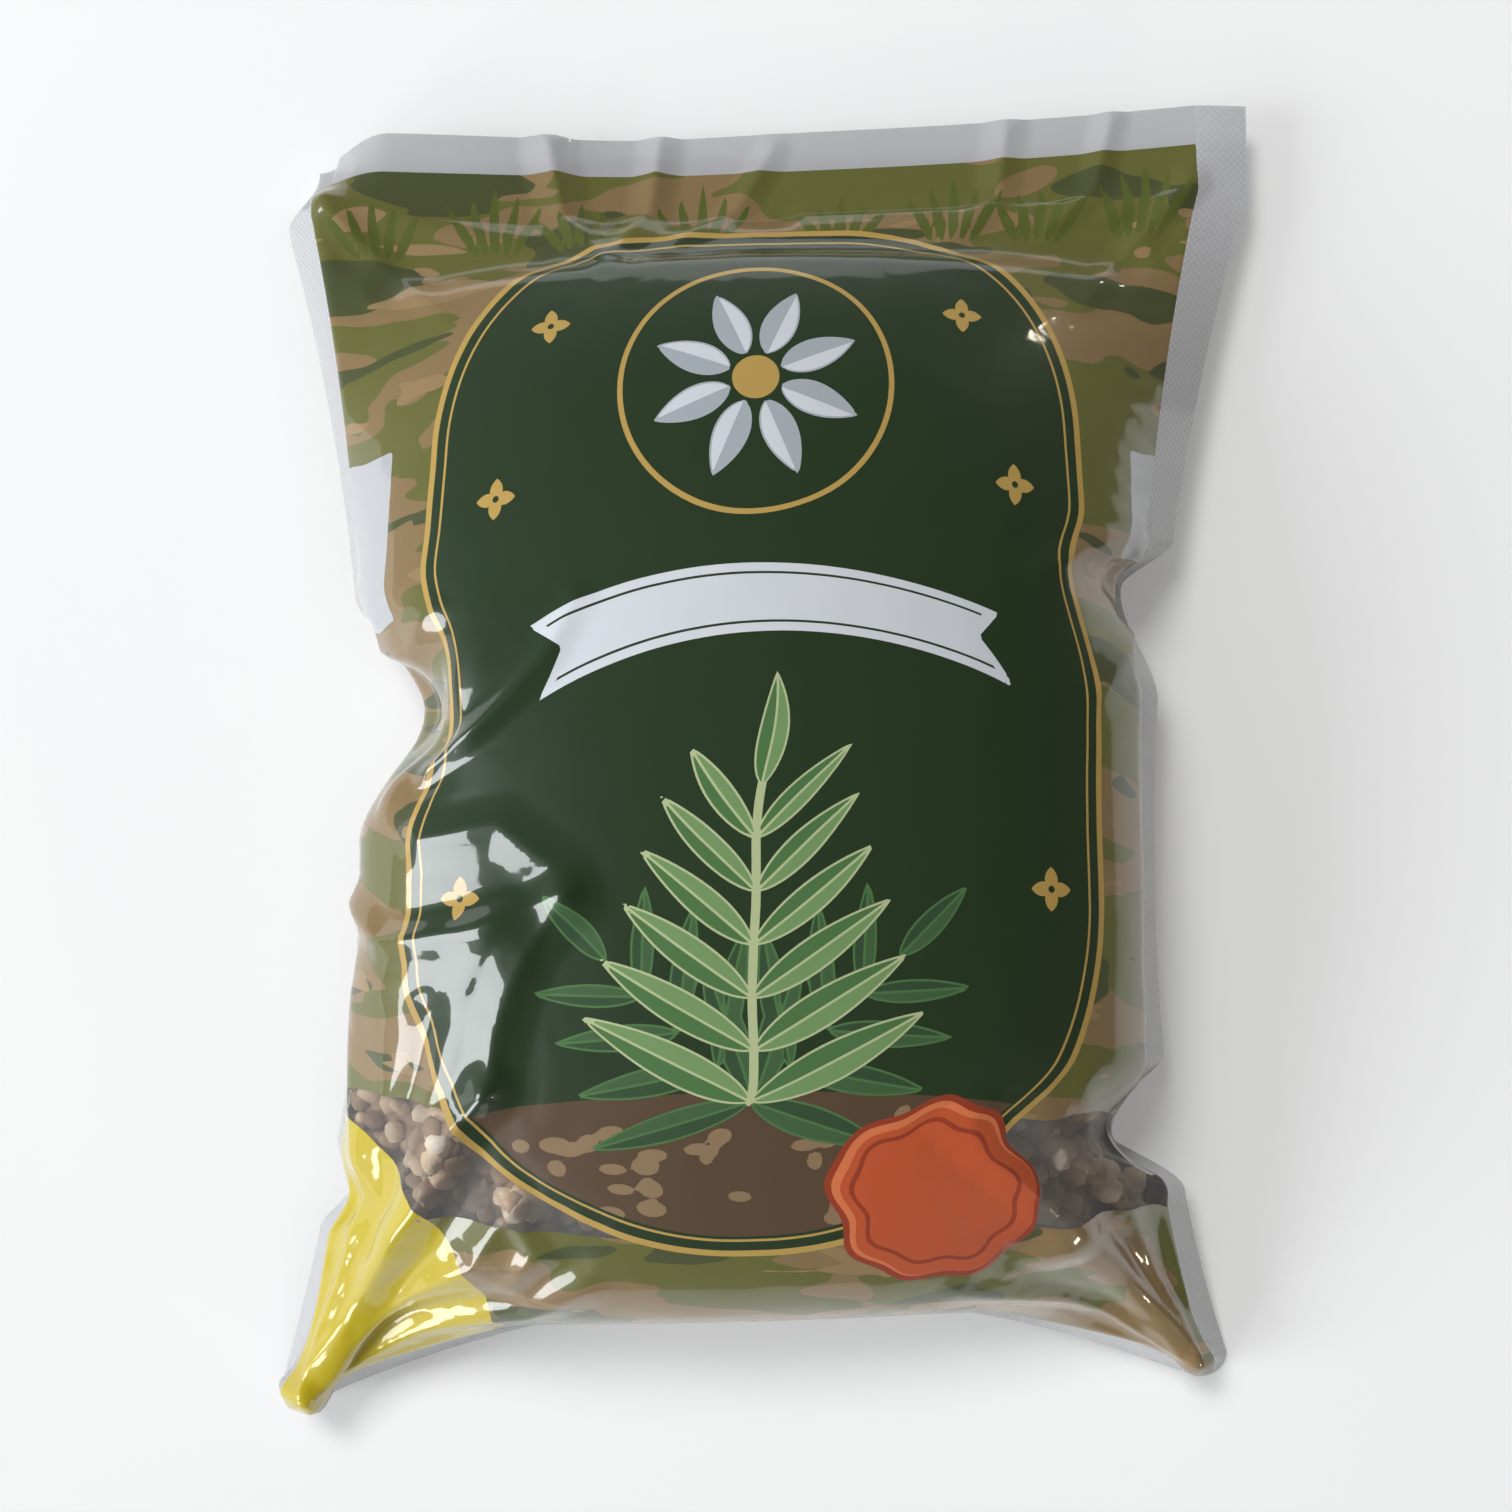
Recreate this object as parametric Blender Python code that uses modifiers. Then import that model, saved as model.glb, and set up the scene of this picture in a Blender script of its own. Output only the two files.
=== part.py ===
"""A two litre compost bag: two printed film webs, heat sealed on four sides, round a fill of coarse granules.

The bag lies on its back as it comes to rest. +Z is up, +Y runs towards the top edge of the bag and +X to the
right of its printed front. The origin is on the floor, under the middle of the bag.

Every point of the bag is found from its place on the flat web: u across, from the middle, and v up from the
bottom edge. Inside the seals the web is lifted over the fill. In the seals both webs lie on one shared sheet.
"""

import math

import bmesh
import bpy
from mathutils import Vector

# The flat bag, as it leaves the bag maker
BAG_WIDTH = 0.227
BAG_HEIGHT = 0.312
SIDE_SEAL = 0.012
BOTTOM_SEAL = 0.012
TOP_BAND = 0.020
CORNER_RADIUS = 0.011
FILM = 0.0004

# Clearance between the two webs in the seals, and between the fill and the webs
WEB_GAP = 0.0003

# The filled bag, lying on its back
CROWN_HEIGHT = 0.067
CROWN_PLACE = 0.42
SEAM_HEIGHT = 0.027
BOTTOM_CORNER_HEIGHT = 0.011
BOTTOM_MIDDLE_HEIGHT = 0.020
TOP_CORNER_HEIGHT = 0.013
TOP_MIDDLE_HEIGHT = 0.011
SIDE_SHORTENING = 0.017
LEFT_WAIST_DRAW = 0.0160
RIGHT_WAIST_DRAW = 0.0170
TOP_NARROWING = 0.0025
BOTTOM_DRAW = 0.020
TOP_DRAW = 0.003
END_SLANT = 0.028
WAIST_ROUNDNESS = 2.2
LEFT_BOTTOM_ROUNDNESS = 1.6

# How steeply the webs' arches leave the seams, and how fast the back web drops to the floor
SIDE_STEEPNESS = math.radians(96)
BOTTOM_STEEPNESS = math.radians(104)
TOP_STEEPNESS = math.radians(76)
BACK_STEEPNESS = math.radians(78)
BACK_FLATNESS = 3.5
FLAT_FROM = 0.975

# How far the seal flanges hang down. The sides: at the bottom, beside the crown and at the top.
# The bottom: at its corners and in its middle
LEFT_DROOP = (math.radians(58), math.radians(80), math.radians(50))
RIGHT_DROOP = (math.radians(55), math.radians(62), math.radians(10))
BOTTOM_DROOP = (math.radians(60), math.radians(76))
TOP_DROOP = math.radians(6)
STEEPEST_DROOP = math.radians(88)
# A pinched side folds its flange further under: by this angle for each metre of pinch depth
FOLD_PER_PINCH = math.radians(3500)

# Where the sides are pinched in: side, height up the flat web, depth, lengths below and above, reach inwards
PINCHES = (
    (-1, 0.173, 0.0130, 0.030, 0.028, 0.030),
    (-1, 0.060, 0.0030, 0.010, 0.012, 0.024),
    (1, 0.198, 0.0060, 0.028, 0.011, 0.026),
    (1, 0.070, 0.0095, 0.016, 0.018, 0.028),
)

# Soft folds of the front web: from and to on the flat web, rise at both ends, half width
FOLDS = (
    ((-0.100, 0.176), (-0.060, 0.163), -0.0040, -0.0015, 0.014),
    ((-0.072, 0.158), (-0.044, 0.183), 0.0018, 0.0006, 0.010),
    ((-0.082, 0.117), (-0.040, 0.130), 0.0010, 0.0014, 0.010),
    ((-0.040, 0.130), (-0.051, 0.095), 0.0014, 0.0014, 0.010),
    ((-0.051, 0.095), (-0.096, 0.020), 0.0014, 0.0030, 0.012),
    ((0.036, 0.090), (0.054, 0.066), 0.0003, 0.0016, 0.011),
    ((0.054, 0.066), (0.095, 0.019), 0.0016, 0.0028, 0.011),
    ((0.096, 0.200), (0.070, 0.196), -0.0025, -0.0008, 0.011),
    ((0.098, 0.072), (0.072, 0.084), -0.0012, -0.0008, 0.012),
    ((-0.098, 0.060), (-0.076, 0.068), -0.0018, -0.0006, 0.010),
    ((-0.080, 0.274), (0.082, 0.274), -0.0022, -0.0022, 0.011),
)
# The folds fade out over this distance from the seams
FOLD_FADE = 0.012

# The upper left corner curls down, and the top edge is buckled once
CURL_REACH = 0.030
CURL_DROP = 0.010
CURL_PULL = 0.007
BUCKLE_PLACE = -0.028
BUCKLE_REACH = 0.026
BUCKLE_DEPTH = 0.004

# Fineness of the webs inside the seals
COLUMNS = 26
ROWS = 36
EDGE_CROWDING = 0.55

# The granules leave this many rings of grid cells empty inside the seams
EMPTY_RINGS = 4

# The granules' lumps, which show in the clear band beside the printed panel
BAND_PLACE = 0.069
BAND_HALF_HEIGHT = 0.016
BAND_FADE = 0.006
PANEL_HALF_WIDTH = 0.034
PANEL_FADE = 0.016
LUMP_PITCH = 0.019
LUMP_DEPTH = 0.0034

FILM_COLOUR = (0.20, 0.21, 0.10, 1.0)
BACK_COLOUR = (0.23, 0.22, 0.12, 1.0)
GRANULE_COLOUR = (0.23, 0.16, 0.10, 1.0)

HALF_CAVITY = BAG_WIDTH / 2 - SIDE_SEAL
CAVITY_HEIGHT = BAG_HEIGHT - BOTTOM_SEAL - TOP_BAND
FLOOR_LEVEL = FILM + WEB_GAP / 2
SIDE_RUN = CAVITY_HEIGHT - SIDE_SHORTENING


def blend(start, end, share):
    """A value between two others."""
    return start + (end - start) * share


def ease(share):
    """A smooth step from 0 to 1."""
    share = min(1.0, max(0.0, share))
    return share * share * (3 - 2 * share)


def arch(place, steepness):
    """How far out and how high a web is on its arch, for a place from 0 at the crown to 1 at the seam."""
    out = math.sin(steepness * place) / math.sin(steepness)
    lift = (math.cos(steepness * place) - math.cos(steepness)) / (1 - math.cos(steepness))
    return out, lift


def waist(up, bottom_roundness=WAIST_ROUNDNESS):
    """How far the sides are drawn in and raised, from 0 at the ends to 1 beside the crown."""
    up = min(1.0, max(0.0, up))
    if up < CROWN_PLACE:
        return 1 - ((CROWN_PLACE - up) / CROWN_PLACE) ** bottom_roundness
    return 1 - ((up - CROWN_PLACE) / (1 - CROWN_PLACE)) ** WAIST_ROUNDNESS


def pinch_depth(side, up, inside):
    """How far one side is pushed inwards, for a share of its height and a distance in from the seam."""
    v = BOTTOM_SEAL + up * CAVITY_HEIGHT
    depth = 0.0
    for pinch_side, height, most, below, above, reach in PINCHES:
        if pinch_side == side:
            length = below if v < height else above
            depth += most * (1 - ease(abs(v - height) / length)) * (1 - ease(inside / reach))
    return depth


def droop(side, up):
    """How far a side flange hangs down at a share of its height, in radians."""
    bottom, middle, top = LEFT_DROOP if side < 0 else RIGHT_DROOP
    end = bottom if up < CROWN_PLACE else top
    folded = FOLD_PER_PINCH * pinch_depth(side, up, 0.0)
    return min(STEEPEST_DROOP, blend(end, middle, waist(up)) + folded)


def crown_run(up, bottom_steepness, top_steepness):
    """The crown line's share of the way along Y, from 0 at the bottom seam to 1 at the top, and its lift."""
    bottom_pull = bottom_steepness / (math.sin(bottom_steepness) * CROWN_PLACE)
    top_pull = top_steepness / (math.sin(top_steepness) * (1 - CROWN_PLACE))
    crown = top_pull / (bottom_pull + top_pull)
    if up < CROWN_PLACE:
        out, lift = arch((CROWN_PLACE - up) / CROWN_PLACE, bottom_steepness)
        return crown * (1 - out), lift
    out, lift = arch((up - CROWN_PLACE) / (1 - CROWN_PLACE), top_steepness)
    return crown + (1 - crown) * out, lift


def seam_sheet(across, up):
    """The sheet stretched over the four seams, for shares of the way across (-1 to 1) and up (0 to 1)."""
    side = 1 if across > 0 else -1
    if side < 0:
        draw = LEFT_WAIST_DRAW * waist(up, LEFT_BOTTOM_ROUNDNESS)
    else:
        draw = RIGHT_WAIST_DRAW * waist(up)
    half_chord = HALF_CAVITY - draw - TOP_NARROWING * ease(up)
    x = across * half_chord - side * pinch_depth(side, up, (1 - abs(across)) * half_chord)
    bow = 1 - across * across
    bottom = -SIDE_RUN / 2 + BOTTOM_DRAW * bow
    top = SIDE_RUN / 2 - TOP_DRAW * bow
    y = blend(bottom, top, up) + END_SLANT * x
    bottom_height = blend(BOTTOM_CORNER_HEIGHT, BOTTOM_MIDDLE_HEIGHT, bow)
    top_height = blend(TOP_CORNER_HEIGHT, TOP_MIDDLE_HEIGHT, bow)
    end_height = bottom_height if up < CROWN_PLACE else top_height
    return x, y, blend(end_height, SEAM_HEIGHT, waist(up))


def smooth_point(across, up, front):
    """A point of the filled web without its folds: across from -1 to 1 between the side seams, up from 0 to 1."""
    out, section = arch(abs(across), SIDE_STEEPNESS if front else BACK_STEEPNESS)
    if front:
        along, profile = crown_run(up, BOTTOM_STEEPNESS, TOP_STEEPNESS)
    else:
        along, profile = crown_run(up, BACK_STEEPNESS, BACK_STEEPNESS)
    place = blend(abs(across), out, profile)
    x, y, seam_z = seam_sheet(math.copysign(place, across), blend(up, along, section))
    swell = section * profile
    if front:
        return Vector((x, y, blend(seam_z, CROWN_HEIGHT, swell)))
    sunk = min(1.0, (1 - (1 - swell) ** BACK_FLATNESS) / FLAT_FROM)
    return Vector((x, y, blend(seam_z, FLOOR_LEVEL, sunk)))


def fold_rise(across, up):
    """How far the folds lift the front web off its smooth shape, fading out at the seams."""
    flat = Vector((across * HALF_CAVITY, BOTTOM_SEAL + up * CAVITY_HEIGHT))
    rise = 0.0
    for start, end, start_rise, end_rise, half_width in FOLDS:
        run = Vector(end) - Vector(start)
        share = min(1.0, max(0.0, (flat - Vector(start)).dot(run) / run.length_squared))
        aside = (flat - Vector(start) - run * share).length
        rise += blend(start_rise, end_rise, share) * (1 - ease(aside / half_width))
    to_seam = min((1 - abs(across)) * HALF_CAVITY, up * CAVITY_HEIGHT, (1 - up) * CAVITY_HEIGHT)
    return rise * ease(to_seam / FOLD_FADE)


def bag_point(across, up, front):
    """A point of the front or back web between the seams, with the folds of the front web."""
    point = smooth_point(across, up, front)
    rise = fold_rise(across, up) if front else 0.0
    if rise != 0.0:
        step = 0.001
        along_x = smooth_point(across + step, up, True) - smooth_point(across - step, up, True)
        along_y = smooth_point(across, up + step, True) - smooth_point(across, up - step, True)
        point += along_x.cross(along_y).normalized() * rise
    return point


def rounded(u, v):
    """The place on the flat web, kept inside the rounded bottom corners."""
    centre_u, centre_v = BAG_WIDTH / 2 - CORNER_RADIUS, CORNER_RADIUS
    if abs(u) > centre_u and v < centre_v:
        out = Vector((abs(u) - centre_u, v - centre_v))
        if out.length > CORNER_RADIUS:
            out.length = CORNER_RADIUS
        return math.copysign(centre_u + out.x, u), centre_v + out.y
    return u, v


def web_point(u, v, front):
    """Where a place on the flat web comes to lie: in the cavity, or on a seal flange hung from its seam."""
    u, v = rounded(u, v)
    side = 1 if u > 0 else -1
    past_side = max(0.0, abs(u) - HALF_CAVITY)
    past_bottom = max(0.0, BOTTOM_SEAL - v)
    past_top = max(0.0, v - (BAG_HEIGHT - TOP_BAND))
    across = min(1.0, max(-1.0, u / HALF_CAVITY))
    up = min(1.0, max(0.0, (v - BOTTOM_SEAL) / CAVITY_HEIGHT))
    point = bag_point(across, up, front)
    side_droop = droop(side, up)
    bottom_droop = blend(*BOTTOM_DROOP, 1 - across * across)
    drops = (
        past_side * math.sin(side_droop),
        past_bottom * math.sin(bottom_droop),
        past_top * math.sin(TOP_DROOP),
    )
    point.x += side * past_side * math.cos(side_droop)
    point.y += past_top * math.cos(TOP_DROOP) - past_bottom * math.cos(bottom_droop)
    point.z -= math.hypot(*drops)
    top_share = past_top / TOP_BAND
    point.z -= BUCKLE_DEPTH * top_share * math.exp(-(((u - BUCKLE_PLACE) / BUCKLE_REACH) ** 2))
    from_corner = math.hypot(u + BAG_WIDTH / 2, BAG_HEIGHT - v)
    curl = (1 - ease(from_corner / CURL_REACH)) * ease(1 - (BAG_HEIGHT - v) / CURL_REACH)
    point.x += CURL_PULL * curl
    point.y -= CURL_PULL * curl
    point.z -= CURL_DROP * curl
    point.z = max(point.z, FLOOR_LEVEL)
    return point


def crowded(count):
    """Places from -1 to 1, closer together towards both ends."""
    places = []
    for step in range(count + 1):
        even = 2 * step / count - 1
        places.append(blend(even, math.sin(math.pi / 2 * even), EDGE_CROWDING))
    return places


def web_columns():
    """Places across the flat web: the side seals' edges, and the columns between the seams."""
    inside = [HALF_CAVITY * place for place in crowded(COLUMNS)]
    return [-BAG_WIDTH / 2, *inside, BAG_WIDTH / 2]


def web_rows():
    """Places up the flat web: the bottom edge, the rows in the cavity, and the unprinted top band."""
    inside = [BOTTOM_SEAL + CAVITY_HEIGHT * (place + 1) / 2 for place in crowded(ROWS)]
    return [0.0, *inside, BAG_HEIGHT - TOP_BAND / 2, BAG_HEIGHT]


def material(name, colour, roughness):
    """A Principled material of one colour."""
    made = bpy.data.materials.new(name)
    made.use_nodes = True
    shader = made.node_tree.nodes["Principled BSDF"]
    shader.inputs["Base Color"].default_value = colour
    shader.inputs["Roughness"].default_value = roughness
    shader.inputs["Metallic"].default_value = 0.0
    made.diffuse_color = colour
    return made


def grid_of(columns, rows, place):
    """A grid primitive whose points are moved by place(column, row), and each point's column and row."""
    mesh = bmesh.new()
    spots = []
    bmesh.ops.create_grid(mesh, x_segments=len(columns) - 1, y_segments=len(rows) - 1, size=1.0)
    for vertex in mesh.verts:
        column = round((vertex.co.x + 1) / 2 * (len(columns) - 1))
        row = round((vertex.co.y + 1) / 2 * (len(rows) - 1))
        spots.append((columns[column], rows[row]))
        vertex.co = place(*spots[-1])
    return mesh, spots


def finish_object(name, mesh, finish, collection):
    """Puts a bmesh into the scene as a smooth named object."""
    data = bpy.data.meshes.new(name)
    mesh.to_mesh(data)
    mesh.free()
    data.shade_smooth()
    data.materials.append(finish)
    made = bpy.data.objects.new(name, data)
    collection.objects.link(made)
    return made


def sheet(columns, rows, place, front, offset):
    """A triangulated sheet through the placed points, moved by offset(column, row) along its outward normals."""
    mesh, spots = grid_of(columns, rows, place)
    bmesh.ops.triangulate(mesh, faces=mesh.faces, quad_method="SHORT_EDGE")
    if not front:
        bmesh.ops.reverse_faces(mesh, faces=mesh.faces)
    mesh.normal_update()
    moves = [vertex.normal * offset(*spot) for vertex, spot in zip(mesh.verts, spots)]
    for vertex, move in zip(mesh.verts, moves):
        vertex.co += move
    return mesh


def make_web(name, front, finish, collection):
    """One printed web: an open sheet, lifted half the web gap off the shared sheet, and thickened outwards."""
    def place(u, v):
        return web_point(u, v, front)

    mesh = sheet(web_columns(), web_rows(), place, front, lambda u, v: WEB_GAP / 2)
    web = finish_object(name, mesh, finish, collection)
    thicken = web.modifiers.new("Film thickness", "SOLIDIFY")
    thicken.thickness = FILM
    thicken.offset = 1.0
    return web


def lump_dip(u, v):
    """How far the granules' skin dips between its lumps in the clear band."""
    in_band = 1 - ease((abs(v - BAND_PLACE) - BAND_HALF_HEIGHT) / BAND_FADE)
    beside_panel = ease((abs(u) - PANEL_HALF_WIDTH) / PANEL_FADE)
    turn = 2 * math.pi / LUMP_PITCH
    dip = (1 - math.cos(turn * u) * math.cos(turn * v)) / 2
    return LUMP_DEPTH * dip * in_band * beside_panel


def fill_skin(front):
    """The granules' skin under one web, half the web gap inside the shared sheet and short of the seams."""
    def place(across, up):
        return bag_point(across, (1 + up) / 2, front)

    def offset(across, up):
        dip = lump_dip(across * HALF_CAVITY, BOTTOM_SEAL + CAVITY_HEIGHT * (1 + up) / 2)
        return -WEB_GAP / 2 - dip * front

    skin = sheet(crowded(COLUMNS), crowded(ROWS), place, front, offset)
    for _ in range(EMPTY_RINGS):
        rim = [vertex for vertex in skin.verts if vertex.is_boundary]
        bmesh.ops.delete(skin, geom=rim, context="VERTS")
    return skin


def make_fill(finish, collection):
    """The granules as one body: the skins under both webs, bridged round their rims."""
    mesh = fill_skin(True)
    under = fill_skin(False)
    underside = bpy.data.meshes.new("fill underside")
    under.to_mesh(underside)
    under.free()
    mesh.from_mesh(underside)
    bpy.data.meshes.remove(underside)
    rims = [edge for edge in mesh.edges if edge.is_boundary]
    bmesh.ops.bridge_loops(mesh, edges=rims)
    bmesh.ops.recalc_face_normals(mesh, faces=mesh.faces)
    return finish_object("granule_fill", mesh, finish, collection)


def centre_on_origin(objects):
    """Moves everything so that the bag's box stands on the origin with its bottom centre."""
    bpy.context.view_layer.update()
    graph = bpy.context.evaluated_depsgraph_get()
    corners = [Vector(corner) for made in objects for corner in made.evaluated_get(graph).bound_box]
    low = Vector(map(min, zip(*corners)))
    high = Vector(map(max, zip(*corners)))
    shift = Vector((-(low.x + high.x) / 2, -(low.y + high.y) / 2, -low.z))
    for made in objects:
        made.location = shift


def main():
    for old in list(bpy.data.objects):
        bpy.data.objects.remove(old)
    collection = bpy.data.collections.new("compost bag")
    bpy.context.scene.collection.children.link(collection)
    front_film = material("printed front film", FILM_COLOUR, 0.18)
    back_film = material("printed back film", BACK_COLOUR, 0.22)
    granules = material("granules", GRANULE_COLOUR, 0.9)
    pieces = [
        make_web("front_web", True, front_film, collection),
        make_web("back_web", False, back_film, collection),
        make_fill(granules, collection),
    ]
    centre_on_origin(pieces)


main()
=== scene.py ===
"""A lying two litre compost bag: printed glossy film over coarse granules, seen from straight above.

Every point of the film is known by its place on the flat web, u across from the middle and v up from
the bottom edge, in metres. The web is first laid over the filled bag's smooth shape, then relaxed as a
thin sheet that can't stretch, which gives it its creases. The print is a set of plain shapes on the flat
web, each kept as its distance from every point, in millimetres.
"""

import functools
import math

import bmesh
import bpy
import numpy as np
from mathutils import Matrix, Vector


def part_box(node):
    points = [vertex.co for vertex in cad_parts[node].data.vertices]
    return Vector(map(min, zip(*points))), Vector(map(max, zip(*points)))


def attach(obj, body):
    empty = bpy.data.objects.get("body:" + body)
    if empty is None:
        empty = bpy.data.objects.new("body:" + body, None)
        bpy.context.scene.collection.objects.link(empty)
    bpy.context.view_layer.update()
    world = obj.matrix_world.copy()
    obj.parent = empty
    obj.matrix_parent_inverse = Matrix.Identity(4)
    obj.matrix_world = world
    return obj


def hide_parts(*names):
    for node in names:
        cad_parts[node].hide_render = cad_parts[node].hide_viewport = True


bl_info = {
    "name": "Compost bag",
    "version": (1, 0, 0),
    "blender": (4, 5, 0),
    "location": "3D View > Sidebar > Compost bag",
    "description": "Builds a lying film pouch of soil granules on a pale floor",
    "category": "Object",
}

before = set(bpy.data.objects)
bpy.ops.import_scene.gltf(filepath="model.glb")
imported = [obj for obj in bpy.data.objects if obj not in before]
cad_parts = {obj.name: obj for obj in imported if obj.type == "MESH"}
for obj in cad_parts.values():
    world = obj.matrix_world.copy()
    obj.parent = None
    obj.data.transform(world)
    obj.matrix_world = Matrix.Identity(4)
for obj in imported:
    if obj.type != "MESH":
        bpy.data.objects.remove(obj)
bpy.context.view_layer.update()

# The flat bag
BAG_WIDTH = 0.227
BAG_HEIGHT = 0.312
SIDE_SEAL = 0.012
BOTTOM_SEAL = 0.012
TOP_BAND = 0.020
CORNER_RADIUS = 0.011
FLOOR_LEVEL = 0.00055
FILM_GAP = 0.00015
HALF_CAVITY = BAG_WIDTH / 2 - SIDE_SEAL
CAVITY_HEIGHT = BAG_HEIGHT - BOTTOM_SEAL - TOP_BAND

# The filled bag, lying on its back
CROWN_HEIGHT = 0.067
CROWN_PLACE = 0.42
SEAM_HEIGHT = 0.027
BOTTOM_CORNER_HEIGHT = 0.011
BOTTOM_MIDDLE_HEIGHT = 0.020
TOP_CORNER_HEIGHT = 0.013
TOP_MIDDLE_HEIGHT = 0.011
SIDE_RUN = CAVITY_HEIGHT - 0.017
LEFT_WAIST_DRAW = 0.0160
RIGHT_WAIST_DRAW = 0.0170
TOP_NARROWING = 0.0025
BOTTOM_DRAW = 0.020
TOP_DRAW = 0.003
END_SLANT = 0.028
WAIST_ROUNDNESS = 2.2
LEFT_BOTTOM_ROUNDNESS = 1.6

# How steeply the webs' arches leave the seams, and how fast the back web drops to the floor
SIDE_STEEPNESS = math.radians(96)
BOTTOM_STEEPNESS = math.radians(104)
TOP_STEEPNESS = math.radians(76)
BACK_STEEPNESS = math.radians(78)
BACK_FLATNESS = 3.5
FLAT_FROM = 0.975

# How far the seal flanges hang down
LEFT_DROOP = (math.radians(58), math.radians(80), math.radians(50))
RIGHT_DROOP = (math.radians(55), math.radians(62), math.radians(10))
BOTTOM_DROOP = (math.radians(60), math.radians(76))
TOP_DROOP = math.radians(6)
STEEPEST_DROOP = math.radians(88)
FOLD_PER_PINCH = math.radians(3500)

# Where the sides are pinched in: side, height up the flat web, depth, lengths below and above, reach inwards
PINCHES = (
    (-1, 0.173, 0.0130, 0.030, 0.028, 0.030),
    (-1, 0.060, 0.0030, 0.010, 0.012, 0.024),
    (1, 0.198, 0.0060, 0.028, 0.011, 0.026),
    (1, 0.070, 0.0095, 0.016, 0.018, 0.028),
)

# The upper left corner curls down, and the top edge is buckled once
CURL_REACH = 0.030
CURL_DROP = 0.010
CURL_PULL = 0.007
BUCKLE_PLACE = -0.028
BUCKLE_REACH = 0.026
BUCKLE_DEPTH = 0.004

# Folds of the front web: from and to on the flat web, rise at both ends, half width
FOLDS = (
    ((-0.100, 0.176), (-0.060, 0.163), -0.0040, -0.0015, 0.014),
    ((-0.072, 0.158), (-0.044, 0.183), 0.0018, 0.0006, 0.010),
    ((-0.082, 0.117), (-0.040, 0.130), 0.0010, 0.0014, 0.010),
    ((-0.040, 0.130), (-0.051, 0.095), 0.0014, 0.0014, 0.010),
    ((-0.051, 0.095), (-0.096, 0.020), 0.0014, 0.0030, 0.012),
    ((0.036, 0.090), (0.054, 0.066), 0.0003, 0.0016, 0.011),
    ((0.054, 0.066), (0.095, 0.019), 0.0016, 0.0028, 0.011),
    ((0.096, 0.200), (0.070, 0.196), -0.0025, -0.0008, 0.011),
    ((0.098, 0.072), (0.072, 0.084), -0.0012, -0.0008, 0.012),
    ((-0.098, 0.060), (-0.076, 0.068), -0.0018, -0.0006, 0.010),
    ((-0.080, 0.274), (0.082, 0.274), -0.0022, -0.0022, 0.011),
)
FOLD_FADE = 0.012

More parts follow.
